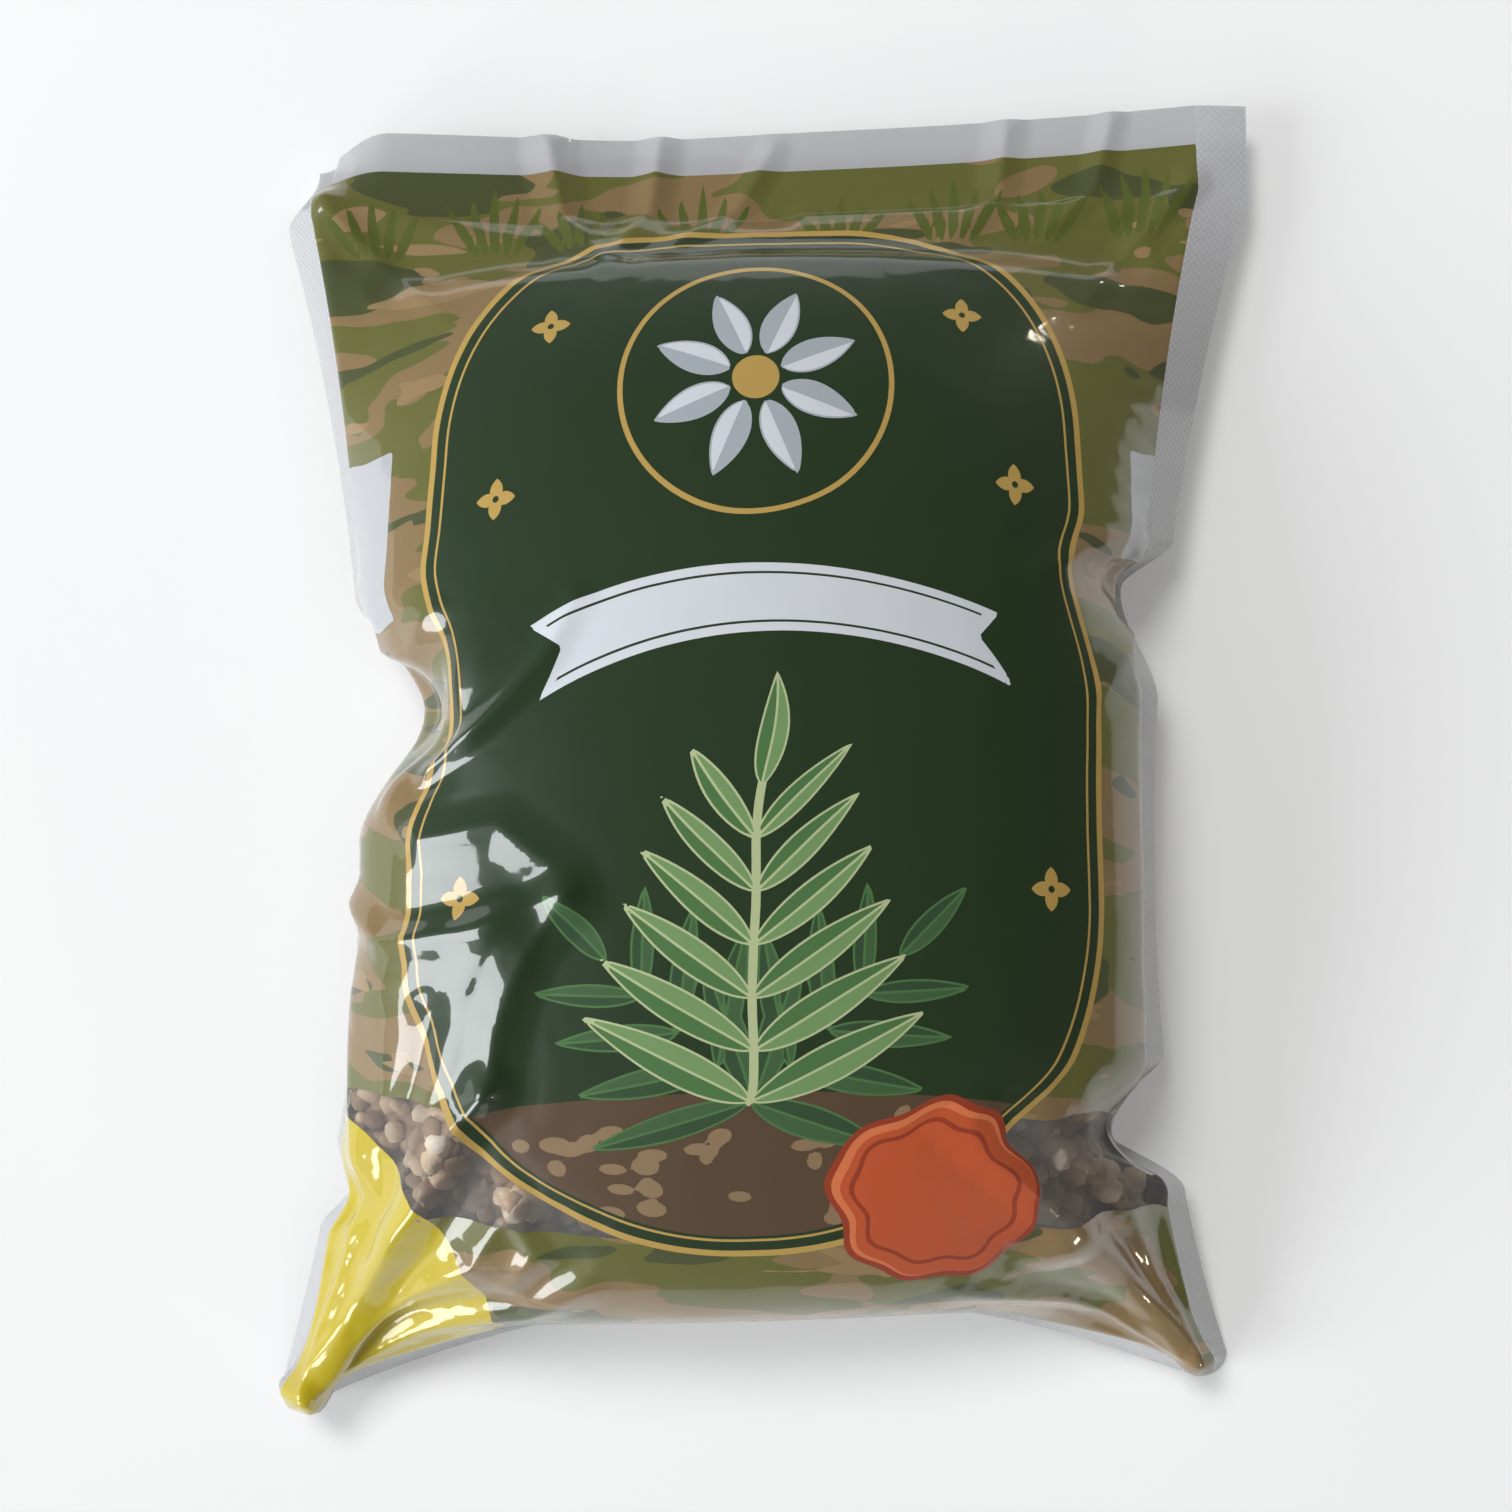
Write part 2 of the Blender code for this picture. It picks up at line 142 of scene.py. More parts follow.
# Sharp creases of the front web: rise at the first and last point, half width, and the crest's points
CREASES = (
    (0.0022, 0.0008, 0.005, ((-0.074, 0.156), (-0.049, 0.178), (-0.038, 0.190))),
    (0.0012, 0.0010, 0.007, ((-0.070, 0.140), (-0.052, 0.143), (-0.038, 0.133), (-0.035, 0.126))),
    (0.0022, 0.0016, 0.006, ((-0.094, 0.126), (-0.080, 0.118), (-0.054, 0.122), (-0.038, 0.129))),
    (0.0018, 0.0026, 0.007, ((-0.036, 0.129), (-0.044, 0.117), (-0.050, 0.100), (-0.052, 0.088))),
    (0.0024, 0.0038, 0.008, ((-0.052, 0.088), (-0.062, 0.073), (-0.076, 0.052), (-0.100, 0.014))),
    (0.0030, 0.0010, 0.008, ((-0.100, 0.014), (-0.091, 0.046), (-0.088, 0.074), (-0.093, 0.102))),
    (-0.0016, -0.0006, 0.006, ((-0.098, 0.018), (-0.083, 0.050), (-0.072, 0.082), (-0.066, 0.104))),
    (0.0030, 0.0012, 0.007, ((-0.099, 0.013), (-0.076, 0.034), (-0.058, 0.046), (-0.048, 0.064))),
    (0.0014, 0.0008, 0.005, ((-0.048, 0.064), (-0.044, 0.052), (-0.050, 0.040))),
    (0.0026, 0.0008, 0.006, ((-0.096, 0.013), (-0.070, 0.022), (-0.048, 0.030), (-0.034, 0.042))),
    (-0.0014, -0.0006, 0.005, ((-0.096, 0.015), (-0.072, 0.028), (-0.050, 0.038), (-0.036, 0.050))),
    (0.0030, 0.0008, 0.008, ((0.100, 0.014), (0.082, 0.038), (0.062, 0.060), (0.048, 0.080))),
    (0.0022, 0.0006, 0.006, ((0.099, 0.014), (0.090, 0.044), (0.080, 0.064), (0.066, 0.078))),
    (-0.0014, -0.0004, 0.005, ((0.098, 0.018), (0.086, 0.042), (0.072, 0.062))),
    (0.0020, 0.0006, 0.006, ((0.096, 0.013), (0.070, 0.026), (0.044, 0.036))),
    (0.0020, 0.0006, 0.006, ((0.100, 0.058), (0.086, 0.066), (0.072, 0.086))),
    (0.0020, 0.0004, 0.006, ((0.100, 0.206), (0.084, 0.204), (0.066, 0.194))),
    (0.0018, 0.0004, 0.006, ((0.100, 0.186), (0.088, 0.180), (0.074, 0.168))),
    (0.0020, 0.0006, 0.006, ((-0.100, 0.190), (-0.086, 0.186), (-0.072, 0.192))),
    (0.0018, 0.0004, 0.006, ((-0.100, 0.296), (-0.084, 0.276), (-0.072, 0.262))),
    (0.0018, 0.0004, 0.006, ((0.100, 0.294), (0.088, 0.278), (0.078, 0.262))),
    (0.0034, 0.0010, 0.007, ((-0.048, 0.310), (-0.044, 0.292), (-0.034, 0.276))),
    (0.0026, 0.0008, 0.006, ((-0.022, 0.310), (-0.024, 0.294), (-0.032, 0.280))),
    (0.0016, 0.0006, 0.005, ((0.004, 0.308), (-0.004, 0.294), (-0.016, 0.284))),
    (0.0022, 0.0006, 0.006, ((0.058, 0.310), (0.056, 0.294), (0.046, 0.282))),
    (0.0020, 0.0006, 0.005, ((0.082, 0.310), (0.078, 0.294), (0.068, 0.284))),
    (-0.0010, -0.0010, 0.008, ((-0.092, 0.283), (-0.030, 0.284), (0.040, 0.283), (0.092, 0.284))),
    (0.0012, 0.0014, 0.006, ((0.012, 0.291), (0.050, 0.2905), (0.096, 0.290))),
    (0.0016, 0.0004, 0.006, ((-0.098, 0.296), (-0.070, 0.290), (-0.050, 0.284))),
)
CREASE_HOLLOWNESS = 1.3

# Fineness of the film: cells across and up the flat web
CELLS_ACROSS = 228
CELLS_UP = 312
SEAM_CELLS = 12
TOP_CELLS = 20

# The film is relaxed from coarse to fine grids. Each level has its cells for one step, its rounds, its
# stiffness against bending, how far its points start off at random, and the cells of that ripple.
LEVELS = ((4, 260, 0.20, 0.0012, 5), (2, 140, 0.15, 0.0003, 4), (1, 60, 0.22, 0.00004, 4))
RIPPLE_SEED = 3

# The share of a wrong length that one round takes away, where the film is stretched and where it is squashed
STRAIGHT_PULL = (1.0, 0.6)
SLANT_PULL = (0.7, 0.35)

# How far the film may go from its smooth shape beside the seams, and inwards and outwards over the fill
ROOM_AT_SEAMS = 0.0035
ROOM_INWARDS = 0.0012
ROOM_OUTWARDS = 0.0024
ROOM_FADE = 0.030

# How firmly the film is held to its smooth shape, and what is left of its distance outwards after a round
SEAL_HOLD = 0.030
FILM_HOLD = 0.002
OUTWARD_SHARE = 0.995

# How near a point has to be to a seam to count as on it
SEAM_TOLERANCE = 1e-6

# Places where the film has more length than its smooth shape needs, so that it creases there:
# centre on the flat web, reach across and up, spare share across and up
SLACK = (
    ((-0.100, 0.172), (0.030, 0.050), 0.004, 0.011),
    ((-0.072, 0.060), (0.040, 0.040), 0.010, 0.008),
    ((0.068, 0.050), (0.040, 0.040), 0.010, 0.010),
    ((0.100, 0.195), (0.026, 0.050), 0.004, 0.016),
    ((0.000, 0.288), (0.120, 0.018), 0.008, 0.002),
)
SEAM_SLACK = 0.006
SEAM_SLACK_REACH = 0.015
OVERALL_SLACK = 0.0005
BACK_SLACK = 0.006

# The print, on the flat web
PRINT_HALF_WIDTH = 0.1018
PRINT_BOTTOM = 0.0115
PRINT_TOP = 0.303
PANEL_CENTRE = (0.0010, 0.1690)
BAND_CENTRE = 0.069
BAND_TILT = -0.04
YELLOW_CENTRE = (-0.103, 0.006)
YELLOW_RADII = (0.050, 0.076)
DISC_CENTRE = (0.040, 0.064)
DISC_SHIFT = 0.0008
STRIPS = (((-0.094, 0.213), (0.0090, 0.0190)), ((0.099, 0.217), (0.0080, 0.0120)))
STRIP_CORNER = 0.0008
RIBBON_CENTRE = (0.001, 0.060)
RIBBON_RADIUS = 0.128
RIBBON_NOTCH = 0.9
STARS = ((-0.046, 0.254), (0.048, 0.254), (-0.056, 0.214), (0.058, 0.214), (-0.060, 0.128), (0.062, 0.128))
BACK_LABEL_CENTRE = (0.0, 0.185)
BACK_LABEL_HALF_SIZE = (0.066, 0.066)
BACK_LABEL_CORNER = 0.008

# The disc's waves: share of its radius, number round the disc, and turn in radians
DISC_WAVES = ((0.035, 9, 0.0), (0.020, 5, 1.0))

# The flower: its petals' number, their roots' and tips' distances from its centre, and their half width
FLOWER_CENTRE = (0.001, 0.236)
PETALS = 8
PETAL_ROOT = 0.006
PETAL_TIP = 0.024
PETAL_HALF_WIDTH = 0.0046
HEART_RADIUS = 0.0052

# Sprigs from one root: lean in degrees, pairs of leaves, length of the lowest leaves, height of the stem
SPRIG_ROOT = (0.001, 0.088)
FRONT_SPRIG = (0, 6, 0.038, 0.062)
BACK_SPRIGS = ((-46, 4, 0.032, 0.040), (46, 4, 0.032, 0.040))
STEM_CENTRE = (0.001, 0.121)
STEM_HALF_SIZE = (0.0009, 0.034)

# A leaf's shape: how full it is, and how fast it widens from its root and from its tip
LEAF_FULLNESS = 2.6
LEAF_ROOT_POWER = 0.7
LEAF_TIP_POWER = 0.95

# The leaves up a stem: the lowest one's angle to it and how much the others close up, in degrees, how much
# shorter they get, how wide they are for their length, and the size of the leaf at the stem's end
LEAF_ANGLE = 64
LEAF_CLOSING = 26
LEAF_SHORTENING = 0.4
LEAF_SLIMNESS = 0.125
END_LEAF_LENGTH = 0.6
END_LEAF_HALF_WIDTH = 0.10

# The printed ground under the sprigs, lower at its sides, and its pebbles' places and radii
GROUND_LEVEL = 0.0900
GROUND_ROUNDING = 2.2
PEBBLE_PLACES = ((-0.055, 0.058), (0.056, GROUND_LEVEL - 0.006))
PEBBLE_RADII = ((0.0014, 0.0010), (0.0034, 0.0022))
PEBBLE_SEED = 41

# Tufts of five blades along the top: their places, root level, heights, and the blades' spread and width
GRASS_PLACES = (-0.088, -0.060, -0.040, -0.012, 0.020, 0.046, 0.066, 0.090)
GRASS_LEVEL = 0.281
GRASS_HEIGHTS = (0.016, 0.020)
BLADE_ROOT_PITCH = 0.0021
BLADE_TIP_PITCH = 0.0056
BLADE_SHORTENING = 0.12
BLADE_HALF_WIDTH = 0.0014

# Print lines and rims, in millimetres outside a shape's edge, or inside where negative
GOLD_LINES = ((-1.5, 0.0), (-4.3, -3.7))
PANEL_INSIDE = -5.0
PEBBLES_UNDER = -2.0
RING_LINE = (-0.6, 0.6)
RIBBON_LINES = ((4.9, 5.4), (-5.4, -4.9))
RIBBON_LINE_END = -2.5
DISC_RIM = -1.7
DISC_GROOVE = (-5.4, -4.4)
DISC_EDGE = (-0.9, 0.5)
LEAF_RIM = -0.45
HALF_MIDRIB = 0.25
SEAL_OVERLAP = -0.3

# A distance that nothing on the bag reaches, in millimetres
ANYWHERE = 500.0

# A star's points, how deep the notches between them are, its hole and the place that it has to itself,
# as shares of its radius
STAR_POINTS = 4
STAR_NOTCH = 0.55
STAR_HOLE = 0.16
STAR_REACH = 1.5

# The camouflage, from the ground up: its patches' size across and up, place in the noise, and threshold
PATCHES = (((0.044, 0.0155), 3.1, 0.49), ((0.040, 0.0130), 11.7, 0.59), ((0.034, 0.0100), 23.4, 0.64))

# The soil body inside the films: cells left free at the seams, gap to the films, height of its lumps, how
# much deeper it lies under the clear band, where that begins in millimetres, least thickness, and tone,
# a dark soil colour that also paints the shade in the gaps between the granules
SOIL_INSET = 6
SOIL_GAP = 0.0009
SOIL_LUMPS = 0.0012
SOIL_LUMP_CELLS = 4
SOIL_LUMP_SEED = 11
SOIL_BAND_DEPTH = 0.0026
SOIL_BAND_EDGE = 5.0
SOIL_LEAST = 0.0008
SOIL_GAP_SHADE_TONE = 0.12

# Where the single granules lie: how far past the band and from the side seams, how much their places vary
# in shares of their pitch, their gap to the film, their layers' distance, and where they end under the
# print, in millimetres
GRANULE_SEED = 17
GRANULES_PAST_BAND = 0.008
GRANULES_FROM_SIDE = (0.006, 0.005)
GRANULE_ROW_MARGIN = 0.001
GRANULE_JITTER = 0.32
GRANULE_GAP = 0.0004
GRANULE_LAYER = 0.0024
UNDER_PRINT = -6.0

# The granules' form and tone: least and most stretch, number, height and closeness of their bulges, the
# two powers of their tones' spread, and how much darker the lower layer is
GRANULE_STRETCH = (0.75, 1.15)
GRANULE_LOBES = 4
GRANULE_BULGE = 1 / 15
GRANULE_LOBE_PITCH = 2.2
GRANULE_TONES = (1.8, 2.2)
LOWER_LAYER_SHADE = 0.12

# The milky film of the top band and of the seals, with their pressed dots: the share of it that isn't
# clear, on the dots and between them, and how white it is
TOP_BAND_COVER = 0.55
TOP_BAND_WHITENESS = 0.54
SEAL_COVERS = (0.76, 0.54)
SEAL_WHITENESS = 0.60
DOT_PITCH = 0.0012

# The clear film is faintly hazy: the colour of its haze, and the least share of it that isn't clear
CLEAR_FILM_HAZE = (0.72, 0.70, 0.69, 1.0)
CLEAR_FILM_SHARE = 0.14

# The stage: the camera hangs straight above and takes in a square of floor
CAMERA_PLACE = (-0.0010, 0.0009, 0.5)
PICTURE_WIDTH = 0.34776
SENSOR_WIDTH = 36.0
FLOOR_SIZE = 9.0
WINDOW_PANES = (((-3.2, -3.3, 1.4), (1.9, 1.7)), ((-4.1, -0.80, 2.2), (2.1, 2.3)))
SIDE_LIGHT_AIM = (0.0, 0.0, 0.03)
OVERHEAD_PLACE = (-0.75, 1.15, 2.1)
OVERHEAD_AIM = (0.0, 0.0, 0.0)
OVERHEAD_SIZE = (0.8, 0.8)
LAMPS = (((1.5, 2.0, 0.6), (0.24, 0.12)), ((1.9, -2.1, 0.9), (0.5, 0.3)))
WINDOW_TINT = (0.95, 0.98, 1.0)
LAMP_TINT = (1.0, 0.92, 0.76)
SKY_LEFT = (0.50, 0.52, 0.55, 1.0)
SKY_RIGHT = (0.19, 0.18, 0.165, 1.0)


def linear(red, green, blue):
    """A colour from its values as seen, 0 to 255."""
    shares = np.array((red, green, blue)) / 255
    curve = np.where(shares < 0.04045, shares / 12.92, ((shares + 0.055) / 1.055) ** 2.4)
    return tuple(curve.tolist()) + (1.0,)


FLOOR_COLOUR = linear(243, 243, 243)
FLOOR_GLOW = linear(246.5, 246.5, 246.5)
GLOW_SHARE = 0.22


def blend(start, end, share):
    """A value between two others."""
    return start + (end - start) * share


def ease(share):
    """A smooth step from 0 to 1."""
    share = np.clip(share, 0.0, 1.0)
    return share * share * (3 - 2 * share)


def arch(place, steepness):
    """How far out and how high a web is on its arch, for places from 0 at the crown to 1 at the seam."""
    out = np.sin(steepness * place) / np.sin(steepness)
    lift = (np.cos(steepness * place) - np.cos(steepness)) / (1 - np.cos(steepness))
    return out, lift


def waist(up, bottom_roundness=WAIST_ROUNDNESS):
    """How far the sides are drawn in and raised, from 0 at the ends to 1 beside the crown."""
    up = np.clip(up, 0.0, 1.0)
    below = np.clip(CROWN_PLACE - up, 0, 1) / CROWN_PLACE
    above = np.clip(up - CROWN_PLACE, 0, 1) / (1 - CROWN_PLACE)
    return np.where(up < CROWN_PLACE, 1 - below**bottom_roundness, 1 - above**WAIST_ROUNDNESS)


def pinch_depth(side, up, inside):
    """How far a side is pushed inwards, for shares of its height and distances in from the seam."""
    v = BOTTOM_SEAL + up * CAVITY_HEIGHT
    depth = 0.0 * v
    for pinch_side, height, most, below, above, reach in PINCHES:
        length = np.where(v < height, below, above)
        pushed = most * (1 - ease(abs(v - height) / length)) * (1 - ease(inside / reach))
        depth = depth + np.where(side == pinch_side, pushed, 0.0)
    return depth


def droop(side, up):
    """How far a side flange hangs down at shares of its height, in radians."""
    bottom, middle, top = (np.where(side < 0, left, right) for left, right in zip(LEFT_DROOP, RIGHT_DROOP))
    end = np.where(up < CROWN_PLACE, bottom, top)
    folded = FOLD_PER_PINCH * pinch_depth(side, up, 0.0 * up)
    return np.minimum(STEEPEST_DROOP, blend(end, middle, waist(up)) + folded)


def crown_run(up, bottom_steepness, top_steepness):
    """The crown line's share of the way along Y, from 0 at the bottom seam to 1 at the top, and its lift."""
    bottom_pull = bottom_steepness / (math.sin(bottom_steepness) * CROWN_PLACE)
    top_pull = top_steepness / (math.sin(top_steepness) * (1 - CROWN_PLACE))
    crown = top_pull / (bottom_pull + top_pull)
    low_out, low_lift = arch((CROWN_PLACE - up) / CROWN_PLACE, bottom_steepness)
    high_out, high_lift = arch((up - CROWN_PLACE) / (1 - CROWN_PLACE), top_steepness)
    low = up < CROWN_PLACE
    run = np.where(low, crown * (1 - low_out), crown + (1 - crown) * high_out)
    return run, np.where(low, low_lift, high_lift)


def seam_sheet(across, up):
    """The sheet stretched over the four seams, for shares of the way across (-1 to 1) and up (0 to 1)."""
    side = np.where(across > 0, 1, -1)
    left = LEFT_WAIST_DRAW * waist(up, LEFT_BOTTOM_ROUNDNESS)
    draw = np.where(side < 0, left, RIGHT_WAIST_DRAW * waist(up))
    half_chord = HALF_CAVITY - draw - TOP_NARROWING * ease(up)
    x = across * half_chord - side * pinch_depth(side, up, (1 - abs(across)) * half_chord)
    bow = 1 - across * across
    y = blend(BOTTOM_DRAW * bow - SIDE_RUN / 2, SIDE_RUN / 2 - TOP_DRAW * bow, up) + END_SLANT * x
    bottom_height = blend(BOTTOM_CORNER_HEIGHT, BOTTOM_MIDDLE_HEIGHT, bow)
    top_height = blend(TOP_CORNER_HEIGHT, TOP_MIDDLE_HEIGHT, bow)
    end_height = np.where(up < CROWN_PLACE, bottom_height, top_height)
    return x, y, blend(end_height, SEAM_HEIGHT, waist(up))


def smooth_point(across, up, front):
    """Points of the filled web without its folds."""
    out, section = arch(abs(across), SIDE_STEEPNESS if front else BACK_STEEPNESS)
    ends = (BOTTOM_STEEPNESS, TOP_STEEPNESS) if front else (BACK_STEEPNESS, BACK_STEEPNESS)
    along, profile = crown_run(up, *ends)
    place = blend(abs(across), out, profile)
    x, y, seam_z = seam_sheet(np.copysign(place, across), blend(up, along, section))
    swell = section * profile
    if front:
        z = blend(seam_z, CROWN_HEIGHT, swell)
    else:
        z = blend(seam_z, FLOOR_LEVEL, np.minimum(1.0, (1 - (1 - swell) ** BACK_FLATNESS) / FLAT_FROM))
    return np.stack([x, y, z], axis=-1)


def beside_line(u, v, start, end):
    """The nearest point's share of the way along a line on the flat web, and its distance."""
    run_u, run_v = end[0] - start[0], end[1] - start[1]
    share = ((u - start[0]) * run_u + (v - start[1]) * run_v) / (run_u**2 + run_v**2)
    share = np.clip(share, 0.0, 1.0)
    return share, np.hypot(u - start[0] - run_u * share, v - start[1] - run_v * share)


def fold_rise(across, up):
    """How far the folds lift the front web off its smooth shape, fading out at the seams."""
    u, v = across * HALF_CAVITY, BOTTOM_SEAL + up * CAVITY_HEIGHT
    rise = 0.0 * u
    for start, end, start_rise, end_rise, half_width in FOLDS:
        share, aside = beside_line(u, v, start, end)
        rise = rise + blend(start_rise, end_rise, share) * (1 - ease(aside / half_width))
    to_seam = np.minimum((1 - abs(across)) * HALF_CAVITY, np.minimum(up, 1 - up) * CAVITY_HEIGHT)
    return rise * ease(to_seam / FOLD_FADE)


def unit(vectors):
    """Vectors at length one."""
    return vectors / np.maximum(np.linalg.norm(vectors, axis=-1, keepdims=True), 1e-12)


def bag_point(across, up, front):
    """Points of the front or back web between the seams, with the folds of the front web."""
    points = smooth_point(across, up, front)
    if front:
        step = 0.001
        along_x = smooth_point(across + step, up, True) - smooth_point(across - step, up, True)
        along_y = smooth_point(across, up + step, True) - smooth_point(across, up - step, True)
        points = points + unit(np.cross(along_x, along_y)) * fold_rise(across, up)[..., None]
    return points


def crease_rise(u, v):
    """How far the sharp creases lift the front web."""
    rise = 0.0 * u
    for first_rise, last_rise, half_width, points in CREASES:
        crease = 0.0 * u
        for number, (start, end) in enumerate(zip(points, points[1:])):
            share, aside = beside_line(u, v, start, end)
            crest = blend(first_rise, last_rise, (number + share) / (len(points) - 1))
            height = abs(crest) * np.maximum(0.0, 1 - aside / half_width) ** CREASE_HOLLOWNESS
            crease = np.maximum(crease, height)
        rise = rise + math.copysign(1.0, first_rise) * crease
    return rise


def rounded(u, v):
    """Places on the flat web, kept inside the rounded bottom corners."""
    centre_u, centre_v = BAG_WIDTH / 2 - CORNER_RADIUS, CORNER_RADIUS
    out_u, out_v = abs(u) - centre_u, v - centre_v
    corner = (out_u > 0) & (out_v < 0)
    length = np.maximum(np.hypot(out_u, out_v), 1e-9)
    scale = np.where(corner & (length > CORNER_RADIUS), CORNER_RADIUS / length, 1.0)
    return (
        np.where(corner, np.copysign(centre_u + out_u * scale, u), u),
        np.where(corner, centre_v + out_v * scale, v),
    )


def web_points(u, v, across, up, front):
    """Where places on the flat web come to lie, given their shares of the way across and up the cavity."""
    u, v = rounded(u, v)
    side = np.where(u > 0, 1, -1)
    past_side = np.maximum(0.0, abs(u) - HALF_CAVITY)
    past_bottom = np.maximum(0.0, BOTTOM_SEAL - v)
    past_top = np.maximum(0.0, v - (BAG_HEIGHT - TOP_BAND))
    points = bag_point(across, up, front)
    side_droop = droop(side, up)
    bottom_droop = blend(*BOTTOM_DROOP, 1 - across * across)
    drop = (past_side * np.sin(side_droop)) ** 2 + (past_bottom * np.sin(bottom_droop)) ** 2
    drop = drop + (past_top * math.sin(TOP_DROOP)) ** 2
    points[..., 0] += side * past_side * np.cos(side_droop)
    points[..., 1] += past_top * math.cos(TOP_DROOP) - past_bottom * np.cos(bottom_droop)
    points[..., 2] -= np.sqrt(drop)
    buckle = np.exp(-(((u - BUCKLE_PLACE) / BUCKLE_REACH) ** 2))
    points[..., 2] -= BUCKLE_DEPTH * past_top / TOP_BAND * buckle
    from_corner = np.hypot(u + BAG_WIDTH / 2, BAG_HEIGHT - v)
    curl = (1 - ease(from_corner / CURL_REACH)) * ease(1 - (BAG_HEIGHT - v) / CURL_REACH)
    points[..., 0] += CURL_PULL * curl
    points[..., 1] -= CURL_PULL * curl
    points[..., 2] = np.maximum(points[..., 2] - CURL_DROP * curl, FLOOR_LEVEL)
    return points


def column_map():
    """The flat web's columns: their places across and their numbers."""
    places = (-BAG_WIDTH / 2, -HALF_CAVITY, HALF_CAVITY, BAG_WIDTH / 2)
    return places, (0, SEAM_CELLS, CELLS_ACROSS - SEAM_CELLS, CELLS_ACROSS)


def flat_grid(step):
    """The flat web's grid, at every cell or at every few cells."""
    places, numbers = column_map()
    u = np.interp(np.arange(0, CELLS_ACROSS + 1, step), numbers, places)
    v = np.linspace(0.0, BAG_HEIGHT, CELLS_UP // step + 1)
    return np.meshgrid(u, v)


def even_run(places, points):
    """Moves places along lines of points so that neighbours end up the same distance apart."""
    steps = np.linalg.norm(np.diff(points, axis=1), axis=-1)
    run = np.concatenate([np.zeros((len(points), 1)), np.cumsum(steps, axis=1)], axis=1)
    even = np.linspace(0.0, 1.0, places.shape[1])
    return np.array([np.interp(even * one[-1], one, place) for one, place in zip(run, places)])


def spread_places(front, rounds=8):
    """Shares across and up for the coarse grid's points, so that the print isn't stretched over the bag."""
    u, v = flat_grid(2)
    across = np.clip(u / HALF_CAVITY, -1.0, 1.0)
    up = np.clip((v - BOTTOM_SEAL) / CAVITY_HEIGHT, 0.0, 1.0)
    seam, top = SEAM_CELLS // 2, TOP_CELLS // 2
    inner = (slice(seam, -top), slice(seam, -seam))
    for _ in range(rounds):
        points = web_points(u, v, across, up, front)[inner]
        across[inner] = even_run(across[inner], points)
        points = web_points(u, v, across, up, front)[inner]
        up[inner] = even_run(up[inner].T, points.transpose(1, 0, 2)).T
        across[:seam] = across[seam]
        across[-top:] = across[-top - 1]
        up[:, :seam] = up[:, seam : seam + 1]
        up[:, -seam:] = up[:, -seam - 1 : -seam]
    return across, up


def finer(values):
    """Values on the coarse grid, on the fine one."""
    rows = np.repeat(values, 2, axis=0)[:-1].copy()
    rows[1::2] = (values[:-1] + values[1:]) / 2
    fine = np.repeat(rows, 2, axis=1)[:, :-1].copy()
    fine[:, 1::2] = (rows[:, :-1] + rows[:, 1:]) / 2
    return fine


def grid_normals(points):
    """The outward normal at each grid point of the front web."""
    along_u = np.gradient(points, axis=1)
    along_v = np.gradient(points, axis=0)
    return unit(np.cross(along_u, along_v))


def ripple(shape, cell, seed):
    """A smooth random field between about -1 and 1, with features of a given number of cells."""
    random = np.random.default_rng(seed)
    rows, columns = shape[0] // cell + 3, shape[1] // cell + 3
    lattice = random.uniform(-1, 1, (rows, columns))
    row, column = np.arange(shape[0]) / cell, np.arange(shape[1]) / cell
    low_row, low_column = row.astype(int), column.astype(int)
    share_row, share_column = ease(row - low_row)[:, None], ease(column - low_column)[None]
    corner = lattice[low_row][:, low_column]
    right = lattice[low_row][:, low_column + 1]
    above = lattice[low_row + 1][:, low_column]
    opposite = lattice[low_row + 1][:, low_column + 1]
    return blend(blend(corner, right, share_column), blend(above, opposite, share_column), share_row)


def slack_fields(u, v):
    """The spare share of film across and up at each place."""
    spare_across = np.full(u.shape, OVERALL_SLACK)
    spare_up = np.full(u.shape, OVERALL_SLACK)
    for (centre_u, centre_v), (reach_u, reach_v), across, up in SLACK:
        near = np.exp(-(((u - centre_u) / reach_u) ** 2) - ((v - centre_v) / reach_v) ** 2)
        spare_across += across * near
        spare_up += up * near
    from_side = np.maximum(0.0, HALF_CAVITY - abs(u))
    from_bottom = np.maximum(0.0, v - BOTTOM_SEAL)
    spare_up += SEAM_SLACK * np.exp(-((from_side / SEAM_SLACK_REACH) ** 2))
    spare_across += SEAM_SLACK * np.exp(-((from_bottom / SEAM_SLACK_REACH) ** 2))
    return spare_across, spare_up


def pull(points, first, second, rest, shares):
    """Moves two sets of points towards their rest lengths, by shares of a stretch and of a squash."""
    gap = points[second] - points[first]
    length = np.sqrt(np.einsum("...k,...k->...", gap, gap))
    strain = length - rest
    share = np.where(strain > 0, *shares) * 0.5 * strain / length
    gap *= share[..., None]
    points[first] += gap
    points[second] -= gap


